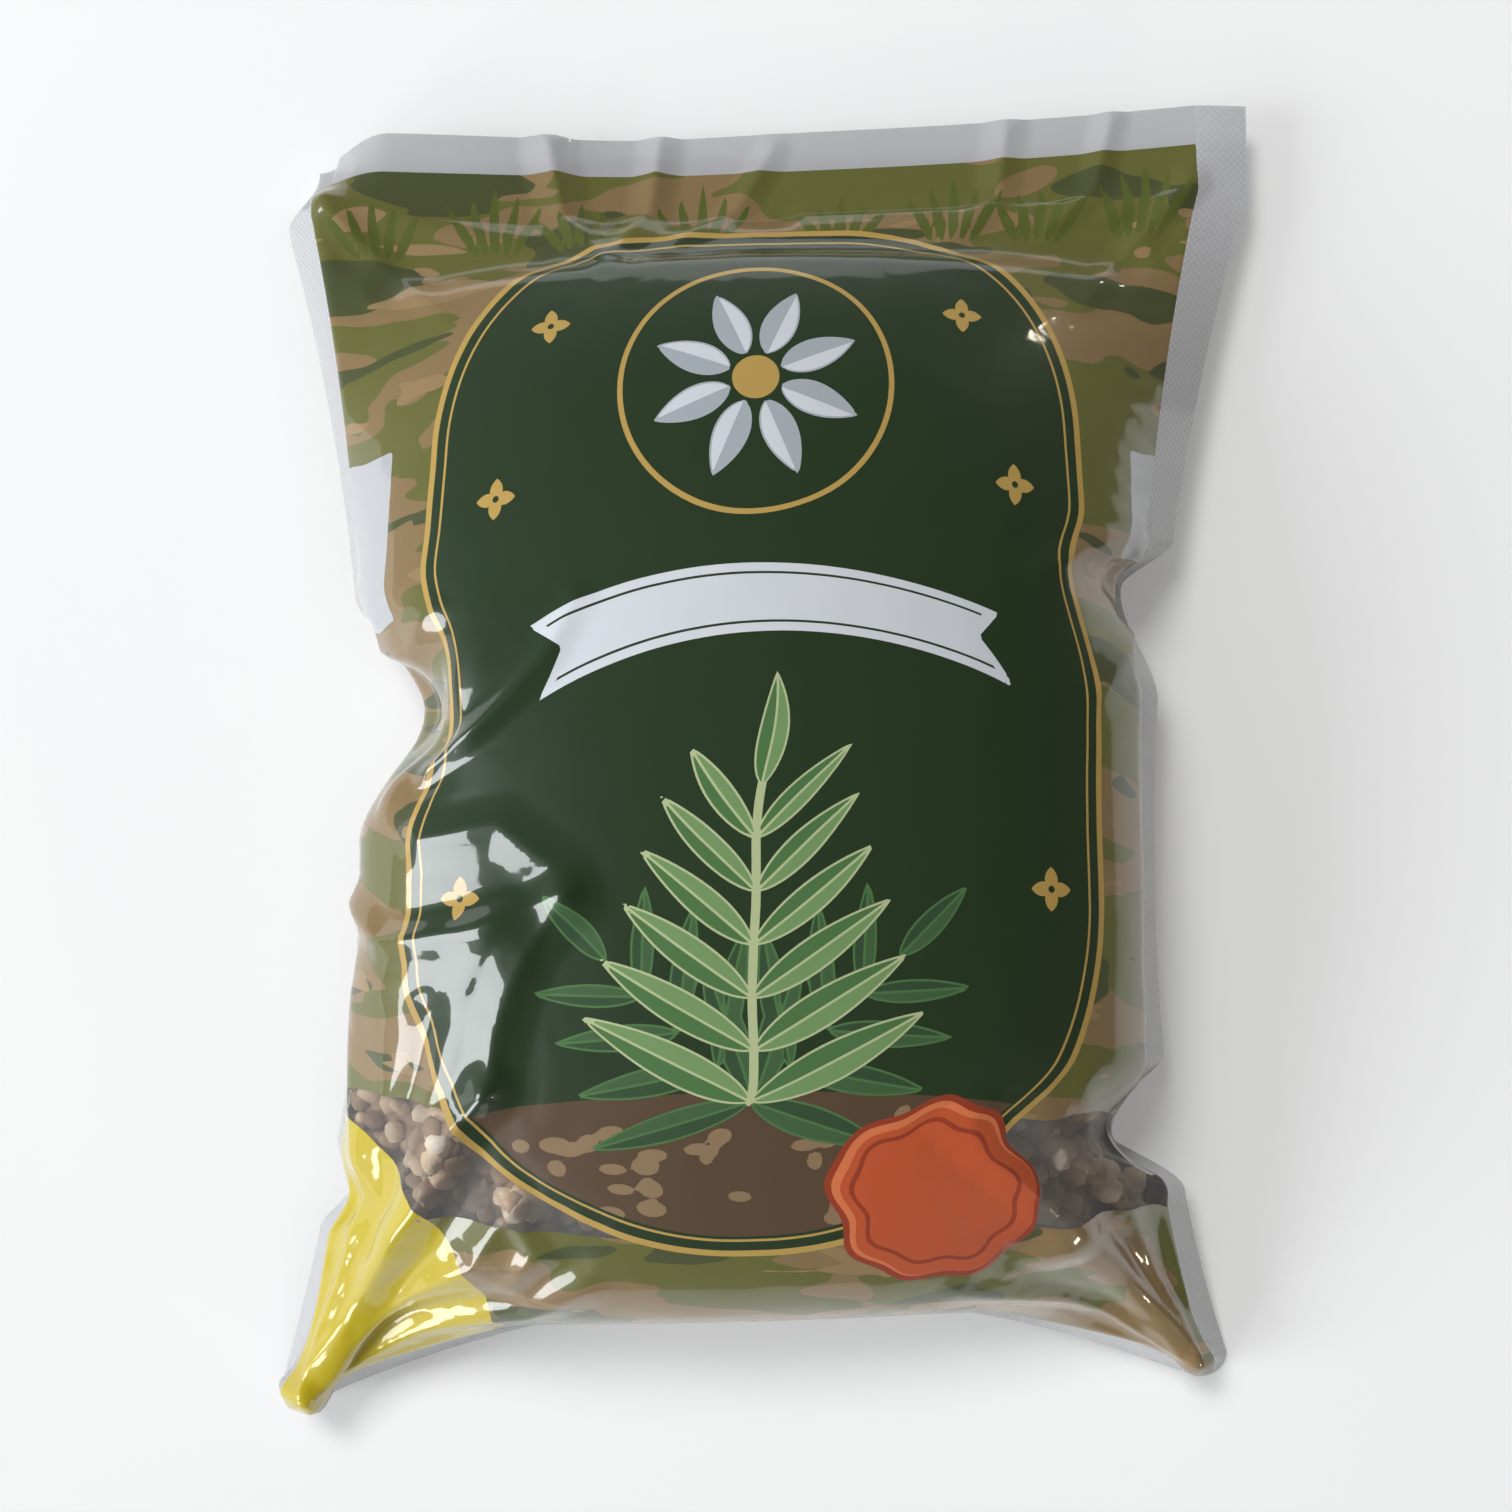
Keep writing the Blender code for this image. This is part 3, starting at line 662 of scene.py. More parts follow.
def relax(points, home, pinned, slack, limits, rounds, bend):
    """Lets the film find its creases: it can't stretch, buckles when squashed, and stays near its home."""
    low, high, hold = limits
    normals = grid_normals(home)
    rows, columns = points.shape[:2]
    across, up, rising, falling = rest_lengths(home, slack)
    twice_up = up[:-1] + up[1:]
    twice_across = across[:, :-1] + across[:, 1:]
    left, right, every = slice(0, columns - 1), slice(1, columns), slice(None)
    fixed = points[pinned].copy()
    for _ in range(rounds):
        for start in (0, 1):
            first, second = slice(start, rows - 1, 2), slice(start + 1, rows, 2)
            pull(points, (first, every), (second, every), up[first], STRAIGHT_PULL)
            pull(points, (first, left), (second, right), rising[first], SLANT_PULL)
            pull(points, (first, right), (second, left), falling[first], SLANT_PULL)
            first, second = slice(start, columns - 1, 2), slice(start + 1, columns, 2)
            pull(points, (every, first), (every, second), across[:, first], STRAIGHT_PULL)
        for start in range(4):
            first, second = slice(start, rows - 2, 4), slice(start + 2, rows, 4)
            pull(points, (first, every), (second, every), twice_up[first], (0.0, bend))
            first, second = slice(start, columns - 2, 4), slice(start + 2, columns, 4)
            pull(points, (every, first), (every, second), twice_across[:, first], (0.0, bend))
        away = points - home
        out = np.einsum("ijk,ijk->ij", away, normals)
        wanted = np.clip(out * OUTWARD_SHARE, low, high)
        points += normals * (wanted - out)[..., None]
        points -= away * hold[..., None]
        points[..., 2] = np.maximum(points[..., 2], FLOOR_LEVEL)
        points[pinned] = fixed
    return points


def rest_lengths(home, slack):
    """The grid's edges and diagonals at rest: their lengths on the smooth shape, plus the slack."""
    spare_across, spare_up = slack
    across = np.linalg.norm(np.diff(home, axis=1), axis=-1)
    up = np.linalg.norm(np.diff(home, axis=0), axis=-1)
    rising = np.linalg.norm(home[1:, 1:] - home[:-1, :-1], axis=-1)
    falling = np.linalg.norm(home[1:, :-1] - home[:-1, 1:], axis=-1)
    spare = 1 + (spare_across + spare_up)[:-1, :-1] / 2
    across = across * (1 + spare_across[:, :-1])
    up = up * (1 + spare_up[:-1])
    return across, up, rising * spare, falling * spare


def from_seams(u, v):
    """How far inside the cavity's four seams places are, negative in the seals and the top band."""
    return np.minimum(HALF_CAVITY - abs(u), np.minimum(v - BOTTOM_SEAL, BAG_HEIGHT - TOP_BAND - v))


def film_limits(u, v):
    """How far the film may go in and out from its smooth shape, and how firmly it is held there."""
    from_seam = from_seams(u, v)
    filled = ease(from_seam / ROOM_FADE)
    low = -blend(ROOM_AT_SEAMS, ROOM_INWARDS, filled)
    high = blend(ROOM_AT_SEAMS, ROOM_OUTWARDS, filled)
    hold = np.where(from_seam <= 0.0, SEAL_HOLD, FILM_HOLD)
    return low, high, hold


def solve_film(front, edge=None):
    """A film's points on the fine grid, from coarse to fine; the back film keeps the front film's seals."""
    across, up = spread_places(front)
    moved = None
    for step, rounds, bend, noise, cell in LEVELS:
        u, v = flat_grid(step)
        if step == 1:
            shares = finer(across), finer(up)
        else:
            shares = across[:: step // 2, :: step // 2], up[:: step // 2, :: step // 2]
        home = web_points(u, v, *shares, front)
        if front:
            home += grid_normals(home) * crease_rise(u, v)[..., None]
            home[..., 2] = np.maximum(home[..., 2], FLOOR_LEVEL)
        if moved is None:
            moved = 0.0 * home
        elif len(moved) != len(home):
            moved = finer(moved)
        start = noise * ripple(u.shape, cell, RIPPLE_SEED + step)
        points = home + moved + grid_normals(home) * start[..., None]
        seal = from_seams(u, v) <= SEAM_TOLERANCE
        if edge is None:
            pinned = np.zeros(u.shape, bool)
            slack = slack_fields(u, v)
        else:
            pinned = seal
            points[seal] = edge[::step, ::step][seal]
            slack = np.full(u.shape, BACK_SLACK), np.full(u.shape, BACK_SLACK)
        points = relax(points, home, pinned, slack, film_limits(u, v), rounds, bend)
        moved = points - home
    return points


def shift_to_part(points):
    """How far the film has to move so that its box stands where the part's front web is."""
    low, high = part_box("front_web")
    flat = points.reshape(-1, 3)
    middle = (flat.min(axis=0) + flat.max(axis=0)) / 2
    return np.array([(low[0] + high[0]) / 2 - middle[0], (low[1] + high[1]) / 2 - middle[1], 0.0])


@functools.lru_cache(maxsize=1)
def solved_films():
    """The front and back films' points, in the part's frame."""
    front = solve_film(True)
    back = solve_film(False, front - np.array([0.0, 0.0, FILM_GAP]))
    shift = shift_to_part(front)
    return front + shift, back + shift


def past_box(u, v, centre, half_size, upper_radius, lower_radius):
    """Distance outside a box with rounded corners, negative inside."""
    radius = np.where(v > centre[1], upper_radius, lower_radius)
    out_u = abs(u - centre[0]) - half_size[0] + radius
    out_v = abs(v - centre[1]) - half_size[1] + radius
    inner = np.minimum(np.maximum(out_u, out_v), 0.0)
    return inner + np.hypot(np.maximum(out_u, 0.0), np.maximum(out_v, 0.0)) - radius


def past_leaf(u, v, root, tip, half_width):
    """Distance outside a leaf that is widest a little before its middle, negative inside."""
    run_u, run_v = tip[0] - root[0], tip[1] - root[1]
    length = math.hypot(run_u, run_v)
    along = ((u - root[0]) * run_u + (v - root[1]) * run_v) / length**2
    aside = abs((u - root[0]) * run_v - (v - root[1]) * run_u) / length
    inside = np.clip(along, 0.0, 1.0)
    edge = half_width * LEAF_FULLNESS * inside**LEAF_ROOT_POWER * (1 - inside) ** LEAF_TIP_POWER
    past_end = np.maximum(np.maximum(-along, along - 1), 0.0) * length
    return aside - edge + past_end


def onward(place, angle, distance):
    """The place that lies some way off in a direction, in radians from straight across."""
    return place[0] + distance * math.cos(angle), place[1] + distance * math.sin(angle)


def flower():
    """The flower's petals round its centre: their roots, tips and half widths."""
    petals = []
    for number in range(PETALS):
        angle = (number + 0.5) * 2 * math.pi / PETALS
        root, tip = onward(FLOWER_CENTRE, angle, PETAL_ROOT), onward(FLOWER_CENTRE, angle, PETAL_TIP)
        petals.append((root, tip, PETAL_HALF_WIDTH))
    return petals


def sprig(lean, pairs, longest, rise):
    """Leaves in pairs up a straight stem that leans by some degrees, with one more at its end."""
    leaves = []
    stem = math.radians(90 - lean)
    for number in range(pairs):
        share = number / pairs
        base = onward(SPRIG_ROOT, stem, rise * share)
        reach = longest * (1 - LEAF_SHORTENING * share)
        for side in (1, -1):
            angle = stem + side * math.radians(LEAF_ANGLE - LEAF_CLOSING * share)
            leaves.append((base, onward(base, angle, reach), LEAF_SLIMNESS * reach))
    base = onward(SPRIG_ROOT, stem, rise)
    leaves.append((base, onward(base, stem, END_LEAF_LENGTH * longest), END_LEAF_HALF_WIDTH * longest))
    return leaves


def leaf_fields(u, v, leaves):
    """The distance outside the nearest of several leaves, and the distance to one side of its midrib."""
    nearest = np.full(u.shape, 1.0)
    side = np.zeros(u.shape)
    for root, tip, half_width in leaves:
        edge = past_leaf(u, v, root, tip, half_width)
        run_u, run_v = tip[0] - root[0], tip[1] - root[1]
        offset = ((u - root[0]) * run_v - (v - root[1]) * run_u) / math.hypot(run_u, run_v)
        side = np.where(edge < nearest, offset, side)
        nearest = np.minimum(nearest, edge)
    return nearest, side


def past_pebbles(u, v, count):
    """Distance outside the nearest of the small stones on the printed ground."""
    random = np.random.default_rng(PEBBLE_SEED)
    nearest = np.full(u.shape, 1.0)
    for _ in range(count):
        place = random.uniform(*PEBBLE_PLACES)
        radii = random.uniform(*PEBBLE_RADII)
        away = np.hypot((u - place[0]) / radii[0], (v - place[1]) / radii[1]) - 1
        nearest = np.minimum(nearest, away * radii.min())
    return nearest


def from_nearest(u, v, centres):
    """How far across and up each place is from the nearest of several centres, and how far away."""
    away = np.array([np.hypot(u - centre[0], v - centre[1]) for centre in centres])
    chosen = np.array(centres)[away.argmin(axis=0)]
    return u - chosen[..., 0], v - chosen[..., 1], away.min(axis=0)


def tuft(place, height):
    """The five blades of a tuft of grass on the flat web: their roots, tips and half widths."""
    blades = []
    for number in range(-2, 3):
        root = (place + BLADE_ROOT_PITCH * number, GRASS_LEVEL)
        level = GRASS_LEVEL + height * (1 - BLADE_SHORTENING * abs(number))
        tip = (place + BLADE_TIP_PITCH * number, level)
        blades.append((root, tip, BLADE_HALF_WIDTH))
    return blades


def past_print(u, v):
    """Distance outside the printed part of a web, negative inside."""
    past_ends = np.maximum(PRINT_BOTTOM - v, v - PRINT_TOP)
    return np.maximum(abs(u) - PRINT_HALF_WIDTH, past_ends)


def past_seals(u, v):
    """Distance inwards from the side and bottom seals, negative on them."""
    return np.minimum(HALF_CAVITY - abs(u), v - BOTTOM_SEAL)


def print_fields(u, v, look):
    """The distances in millimetres outside each printed shape of the front, negative inside."""
    fields = {}
    fields["print_edge"] = past_print(u, v)
    half_size = look.panel_width / 2, look.panel_height / 2
    radii = look.panel_upper_radius, look.panel_lower_radius
    fields["panel"] = past_box(u, v, PANEL_CENTRE, half_size, *radii)
    fields["seal"] = past_seals(u, v)
    fields["clear_band"] = abs(v - BAND_CENTRE - BAND_TILT * u) - look.band_height / 2
    fields["yellow_corner"] = (
        np.hypot((u - YELLOW_CENTRE[0]) / YELLOW_RADII[0], (v - YELLOW_CENTRE[1]) / YELLOW_RADII[1]) - 1
    ) * min(YELLOW_RADII)
    turn = np.arctan2(v - DISC_CENTRE[1], u - DISC_CENTRE[0])
    waves = 1 + sum(share * np.sin(count * turn + start) for share, count, start in DISC_WAVES)
    fields["disc"] = np.hypot(u - DISC_CENTRE[0], v - DISC_CENTRE[1]) - look.disc_radius * waves
    shifted = np.hypot(u - DISC_CENTRE[0] - DISC_SHIFT, v - DISC_CENTRE[1] + DISC_SHIFT)
    fields["disc_shine"] = shifted - look.disc_radius * waves
    strips = np.full(u.shape, 1.0)
    for centre, half_size in STRIPS:
        strips = np.minimum(strips, past_box(u, v, centre, half_size, STRIP_CORNER, STRIP_CORNER))
    fields["strips"] = strips
    back_leaves = [leaf for one in BACK_SPRIGS for leaf in sprig(*one)]
    fields["back_leaves"], fields["back_ribs"] = leaf_fields(u, v, back_leaves)
    fields["leaves"], fields["ribs"] = leaf_fields(u, v, sprig(*FRONT_SPRIG))
    stem_radii = STEM_HALF_SIZE[0], STEM_HALF_SIZE[0]
    fields["stem"] = past_box(u, v, STEM_CENTRE, STEM_HALF_SIZE, *stem_radii)
    fields["ground"] = v - GROUND_LEVEL + GROUND_ROUNDING * (u - SPRIG_ROOT[0]) ** 2
    fields["pebbles"] = past_pebbles(u, v, look.pebbles)
    fields["petals"], fields["petal_ribs"] = leaf_fields(u, v, flower())
    from_flower = np.hypot(u - FLOWER_CENTRE[0], v - FLOWER_CENTRE[1])
    fields["heart"] = from_flower - HEART_RADIUS
    fields["ring"] = from_flower - look.ring_radius
    bow = np.hypot(u - RIBBON_CENTRE[0], v - RIBBON_CENTRE[1]) - RIBBON_RADIUS
    notch = RIBBON_NOTCH * (look.ribbon_height / 2 - abs(bow))
    along = abs(u - RIBBON_CENTRE[0]) - look.ribbon_length / 2 + notch
    fields["ribbon"] = np.maximum(abs(bow) - look.ribbon_height / 2, along)
    fields["ribbon_bow"] = bow
    fields["ribbon_end"] = along
    fields["star_u"], fields["star_v"], fields["star_away"] = from_nearest(u, v, STARS)
    blades = []
    for number, place in enumerate(GRASS_PLACES):
        blades += tuft(place, GRASS_HEIGHTS[number % 2])
    fields["grass"] = leaf_fields(u, v, blades)[0]
    return {name: 1000 * values for name, values in fields.items()}


def back_fields(u, v, look):
    """The distances in millimetres outside each printed shape of the back."""
    label = past_box(u, v, BACK_LABEL_CENTRE, BACK_LABEL_HALF_SIZE, BACK_LABEL_CORNER, BACK_LABEL_CORNER)
    band = abs(v - BAND_CENTRE + BAND_TILT * u) - look.band_height / 2
    fields = {"print_edge": past_print(u, v), "label": label, "clear_band": band, "seal": past_seals(u, v)}
    return {name: 1000 * values for name, values in fields.items()}


def put(tree, kind, values=None, **settings):
    """Adds a shader node with its properties; each of its sockets gets a value or is linked to another."""
    node = tree.nodes.new("ShaderNode" + kind)
    for name, value in settings.items():
        setattr(node, name, value)
    for name, value in (values or {}).items():
        if isinstance(value, bpy.types.NodeSocket):
            tree.links.new(value, node.inputs[name])
        else:
            node.inputs[name].default_value = value
    return node


def new_material(name):
    """An empty material with its tree and output."""
    material = bpy.data.materials.new(name)
    material.use_nodes = True
    tree = material.node_tree
    tree.nodes.clear()
    return material, tree, put(tree, "OutputMaterial")


def calculate(tree, operation, first, second=0.0, third=0.0):
    """A Math node over sockets or numbers."""
    return put(tree, "Math", {0: first, 1: second, 2: third}, operation=operation).outputs[0]


def field_socket(tree, field):
    """The values of one of the mesh's fields."""
    return put(tree, "Attribute", attribute_name=field).outputs["Fac"]


def inside(tree, field, limit=0.0):
    """A mask that is 1 where a field is under a limit."""
    return calculate(tree, "LESS_THAN", field_socket(tree, field), limit)


def between(tree, field, low, high=ANYWHERE):
    """A mask that is 1 where a field is between two limits, or above one."""
    middle, half = (low + high) / 2, (high - low) / 2
    return calculate(tree, "COMPARE", field_socket(tree, field), middle, half)


def paint(tree, under, mask, over):
    """A colour over another where a mask is 1; a colour is four numbers or a socket."""
    return put(tree, "Mix", {0: mask, 6: under, 7: over}, data_type="RGBA").outputs[2]


def both(tree, first, second):
    """A mask that is 1 where two masks are."""
    return calculate(tree, "MULTIPLY", first, second)


def choose(tree, mask, other, chosen):
    """One shader where a mask is 1, another where it is 0, and a share of both between."""
    return put(tree, "MixShader", {0: mask, 1: other, 2: chosen}).outputs[0]


def on_web(tree, mapping):
    """Places on the flat web, scaled, shifted or turned."""
    place = put(tree, "UVMap", uv_map="UVMap")
    return put(tree, "Mapping", {"Vector": place.outputs[0], **mapping}).outputs[0]


def blobs(tree, size, offset, threshold):
    """A mask of random patches on the flat web, of a size across and up in metres."""
    scale = (BAG_WIDTH / size[0], BAG_HEIGHT / size[1], 1.0)
    place = on_web(tree, {"Scale": scale, "Location": (offset, offset * 0.7, 0.0)})
    grain = {"Vector": place, "Scale": 1.0, "Detail": 2.0, "Roughness": 0.45, "Distortion": 0.4}
    noise = put(tree, "TexNoise", grain).outputs["Fac"]
    return calculate(tree, "GREATER_THAN", noise, threshold)


def camouflage(tree, look):
    """The tan and olive patches printed on both webs."""
    colour = look.tan
    for patches, over in zip(PATCHES, (look.olive, look.dark_olive, look.pale_tan)):
        colour = paint(tree, colour, blobs(tree, *patches), over)
    return colour


def front_print(tree, look):
    """The front's colours, from the ground up to the smallest shapes."""
    colour = camouflage(tree, look)
    shapes = (("grass", look.grass), ("yellow_corner", look.yellow))
    shapes += (("strips", look.strip_white), ("panel", look.panel_green))
    for field, tint in shapes:
        colour = paint(tree, colour, inside(tree, field), tint)
    for low, high in GOLD_LINES:
        colour = paint(tree, colour, between(tree, "panel", low, high), look.gold)
    in_panel = inside(tree, "panel", PANEL_INSIDE)
    colour = paint(tree, colour, both(tree, in_panel, inside(tree, "ground")), look.ground)
    stones = both(tree, inside(tree, "ground", PEBBLES_UNDER), inside(tree, "pebbles"))
    colour = paint(tree, colour, both(tree, in_panel, stones), look.pebble)
    back_tints = (look.deep_leaf, look.shade_leaf, look.leaf)
    colour = leaf_colours(tree, colour, "back_leaves", "back_ribs", back_tints)
    colour = paint(tree, colour, inside(tree, "stem"), look.leaf_edge)
    colour = leaf_colours(tree, colour, "leaves", "ribs", (look.pale_leaf, look.leaf, look.leaf_edge))
    petal_tints = (look.white, look.shade_white, look.shade_white)
    colour = leaf_colours(tree, colour, "petals", "petal_ribs", petal_tints)
    colour = paint(tree, colour, inside(tree, "heart"), look.gold)
    colour = paint(tree, colour, between(tree, "ring", *RING_LINE), look.gold)
    colour = paint(tree, colour, inside(tree, "ribbon"), look.white)
    for low, high in RIBBON_LINES:
        line = both(tree, between(tree, "ribbon_bow", low, high), inside(tree, "ribbon_end", RIBBON_LINE_END))
        colour = paint(tree, colour, line, look.panel_green)
    colour = paint(tree, colour, star_mask(tree, 1000 * look.star_radius), look.gold)
    colour = paint(tree, colour, inside(tree, "disc"), look.pale_orange)
    colour = paint(tree, colour, inside(tree, "disc_shine", DISC_RIM), look.orange)
    colour = paint(tree, colour, between(tree, "disc", *DISC_GROOVE), look.deep_orange)
    return paint(tree, colour, between(tree, "disc", *DISC_EDGE), look.deep_orange)


def star_mask(tree, radius):
    """A mask of the four pointed stars, from the place of each point beside its nearest star."""
    across = field_socket(tree, "star_u")
    up = field_socket(tree, "star_v")
    squares = calculate(tree, "ADD", calculate(tree, "POWER", across, 2.0), calculate(tree, "POWER", up, 2.0))
    away = calculate(tree, "SQRT", squares)
    turn = calculate(tree, "ARCTAN2", up, across)
    ray = calculate(tree, "PINGPONG", calculate(tree, "MULTIPLY", turn, STAR_POINTS / math.pi), 1.0)
    edge = calculate(tree, "MULTIPLY_ADD", ray, -STAR_NOTCH * radius, radius)
    body = calculate(tree, "LESS_THAN", away, edge)
    hole = calculate(tree, "GREATER_THAN", away, STAR_HOLE * radius)
    return both(tree, inside(tree, "star_away", STAR_REACH * radius), both(tree, body, hole))


def leaf_colours(tree, under, field, ribs, tints):
    """Leaves with a lit half, a shaded half and an edge and midrib of a third colour."""
    lit, shaded, edge = tints
    colour = paint(tree, under, inside(tree, field), edge)
    within = inside(tree, field, LEAF_RIM)
    colour = paint(tree, colour, both(tree, within, between(tree, ribs, HALF_MIDRIB)), lit)
    return paint(tree, colour, both(tree, within, inside(tree, ribs, -HALF_MIDRIB)), shaded)


def rough_normal(tree, grain, relief):
    """The normal of a surface that a random grain makes uneven."""
    place = put(tree, "TexCoord").outputs["Object"]
    noise = put(tree, "TexNoise", {"Vector": place, **grain})
    return put(tree, "Bump", {"Height": noise.outputs["Fac"], **relief}).outputs[0]


def faint_waves(tree):
    """The normal of film that isn't quite smooth between its creases."""
    grain = {"Scale": 70.0, "Detail": 3.0, "Roughness": 0.45}
    return rough_normal(tree, grain, {"Strength": 0.10, "Distance": 0.0015})


def printed_film(tree, colour):
    """Glossy printed film."""
    finish = {"Base Color": colour, "Roughness": 0.38, "IOR": 1.45}
    coat = {"Coat Weight": 1.0, "Coat Roughness": 0.045, "Coat IOR": 1.6, "Coat Normal": faint_waves(tree)}
    return put(tree, "BsdfPrincipled", finish | coat).outputs[0]


def clear_film(tree):
    """Clear film: it lets most light through and mirrors the lights."""
    through = put(tree, "BsdfTransparent", {"Color": (0.985, 0.985, 0.98, 1.0)}).outputs[0]
    finish = {"Base Color": CLEAR_FILM_HAZE, "Roughness": 0.07, "IOR": 1.5, "Normal": faint_waves(tree)}
    gloss = put(tree, "BsdfPrincipled", finish).outputs[0]
    share = put(tree, "Fresnel", {"IOR": 1.6}).outputs[0]
    return choose(tree, calculate(tree, "MAXIMUM", share, CLEAR_FILM_SHARE), through, gloss)


def milky_film(tree, cover, whiteness, relief=None):
    """Milky clear film; cover is the share of it that isn't clear, a number or a socket."""
    through = put(tree, "BsdfTransparent", {"Color": (0.86, 0.87, 0.88, 1.0)}).outputs[0]
    colour = (whiteness, whiteness, 1.03 * whiteness, 1.0)
    finish = {"Base Color": colour, "Roughness": 0.28, "IOR": 1.5, "Coat Weight": 1.0, "Coat Roughness": 0.05}
    milky = put(tree, "BsdfPrincipled", finish | (relief or {})).outputs[0]
    return choose(tree, cover, through, milky)


def seal_film(tree):
    """Milky film of the heat seals, pressed in a fine pattern of dots."""
    scale = (BAG_WIDTH / DOT_PITCH, BAG_HEIGHT / DOT_PITCH, 1.0)
    place = on_web(tree, {"Scale": scale, "Rotation": (0.0, 0.0, math.radians(45))})
    dots = put(tree, "TexVoronoi", {"Vector": place, "Scale": 1.0, "Randomness": 0.0}, feature="F1")
    away = dots.outputs["Distance"]
    limits = {"From Min": 0.15, "From Max": 0.6, "To Min": SEAL_COVERS[0], "To Max": SEAL_COVERS[1]}
    cover = put(tree, "MapRange", {"Value": away, **limits}).outputs[0]
    bump = put(tree, "Bump", {"Height": away, "Strength": 0.35, "Distance": 0.0002}).outputs[0]
    return milky_film(tree, cover, SEAL_WHITENESS, {"Normal": bump})


def edged_film(tree, shader):
    """A film's shader with the plain top band and the pressed seals round it."""
    top_band = milky_film(tree, TOP_BAND_COVER, TOP_BAND_WHITENESS)
    shader = choose(tree, between(tree, "print_edge", 0.0), shader, top_band)
    return choose(tree, inside(tree, "seal", SEAL_OVERLAP), shader, seal_film(tree))


def front_material(look):
    """Printed film with a clear band across it and milky seals round it."""
    material, tree, output = new_material("front_film")
    printed = printed_film(tree, front_print(tree, look))
    band = inside(tree, "clear_band")
    for field in ("panel", "disc", "yellow_corner"):
        band = both(tree, band, between(tree, field, 0.0))
    shader = choose(tree, band, printed, clear_film(tree))
    tree.links.new(edged_film(tree, shader), output.inputs["Surface"])
    return material


def back_material(look):
    """The back web's printed film, with a plain pale label field."""
    material, tree, output = new_material("back_film")
    colour = paint(tree, camouflage(tree, look), inside(tree, "label"), look.cream)
    printed = printed_film(tree, colour)
    band = both(tree, inside(tree, "clear_band"), between(tree, "label", 0.0))
    shader = choose(tree, band, printed, clear_film(tree))
    tree.links.new(edged_film(tree, shader), output.inputs["Surface"])
    return material


def granule_material(fill):
    """Dull soil lumps, each of its own tone."""
    material, tree, output = new_material("granules")
    ramp = put(tree, "ValToRGB", {0: field_socket(tree, "tone")})
    stops = ramp.color_ramp.elements
    stops[0].color = fill.dark_soil_and_gap_shade
    stops[1].color = fill.palest_soil
    for place, colour in ((0.30, fill.brown_soil), (0.60, fill.tan_soil), (0.85, fill.pale_soil)):
        stops.new(place).color = colour
    normal = rough_normal(tree, {"Scale": 900.0, "Detail": 3.0}, {"Strength": 0.6, "Distance": 0.0005})
    finish = {"Base Color": ramp.outputs[0], "Roughness": 0.9, "IOR": 1.4, "Normal": normal}
    shader = put(tree, "BsdfPrincipled", finish)
    tree.links.new(shader.outputs[0], output.inputs["Surface"])
    return material


def add_piece(name, mesh, material, cad_node):
    """Links a visible piece that rides on the part's one body and takes the place of a solid."""
    mesh.materials.append(material)
    mesh.shade_smooth()
    piece = bpy.data.objects.new(name, mesh)
    bpy.context.scene.collection.objects.link(piece)
    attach(piece, "root")
    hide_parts(cad_node)
    return piece


def grid_faces(rows, columns, upward):
    """Quads over a grid of points."""
    corners = np.arange(rows * columns).reshape(rows, columns)
    ring = [corners[:-1, :-1], corners[:-1, 1:], corners[1:, 1:], corners[1:, :-1]]
    if not upward:
        ring.reverse()
    return np.stack(ring, axis=-1).reshape(-1, 4)


def film_mesh(name, points, u, v, fields, upward):
    """A film's mesh with its flat coordinates and print fields."""
    mesh = bpy.data.meshes.new(name)
    faces = grid_faces(*points.shape[:2], upward)
    mesh.from_pydata(points.reshape(-1, 3).tolist(), [], faces.tolist())
    flat = np.stack([u / BAG_WIDTH + 0.5, v / BAG_HEIGHT], axis=-1).reshape(-1, 2)
    layer = mesh.uv_layers.new(name="UVMap")
    layer.data.foreach_set("uv", flat[faces.reshape(-1)].reshape(-1).astype(np.float32))
    for field, values in fields.items():
        attribute = mesh.attributes.new(field, "FLOAT", "POINT")
        attribute.data.foreach_set("value", values.reshape(-1).astype(np.float32))
    return mesh


def build_front_film(look):
    """The front film."""
    points = solved_films()[0]
    u, v = flat_grid(1)
    mesh = film_mesh("front_film", points, u, v, print_fields(u, v, look), True)
    piece = add_piece("front_film", mesh, front_material(look), "front_web")


def build_back_film(look):
    """The back film, under the fill and joined to the front film at the seals."""
    points = solved_films()[1]
    u, v = flat_grid(1)
    mesh = film_mesh("back_film", points, u, v, back_fields(u, v, look), False)
    piece = add_piece("back_film", mesh, back_material(look), "back_web")


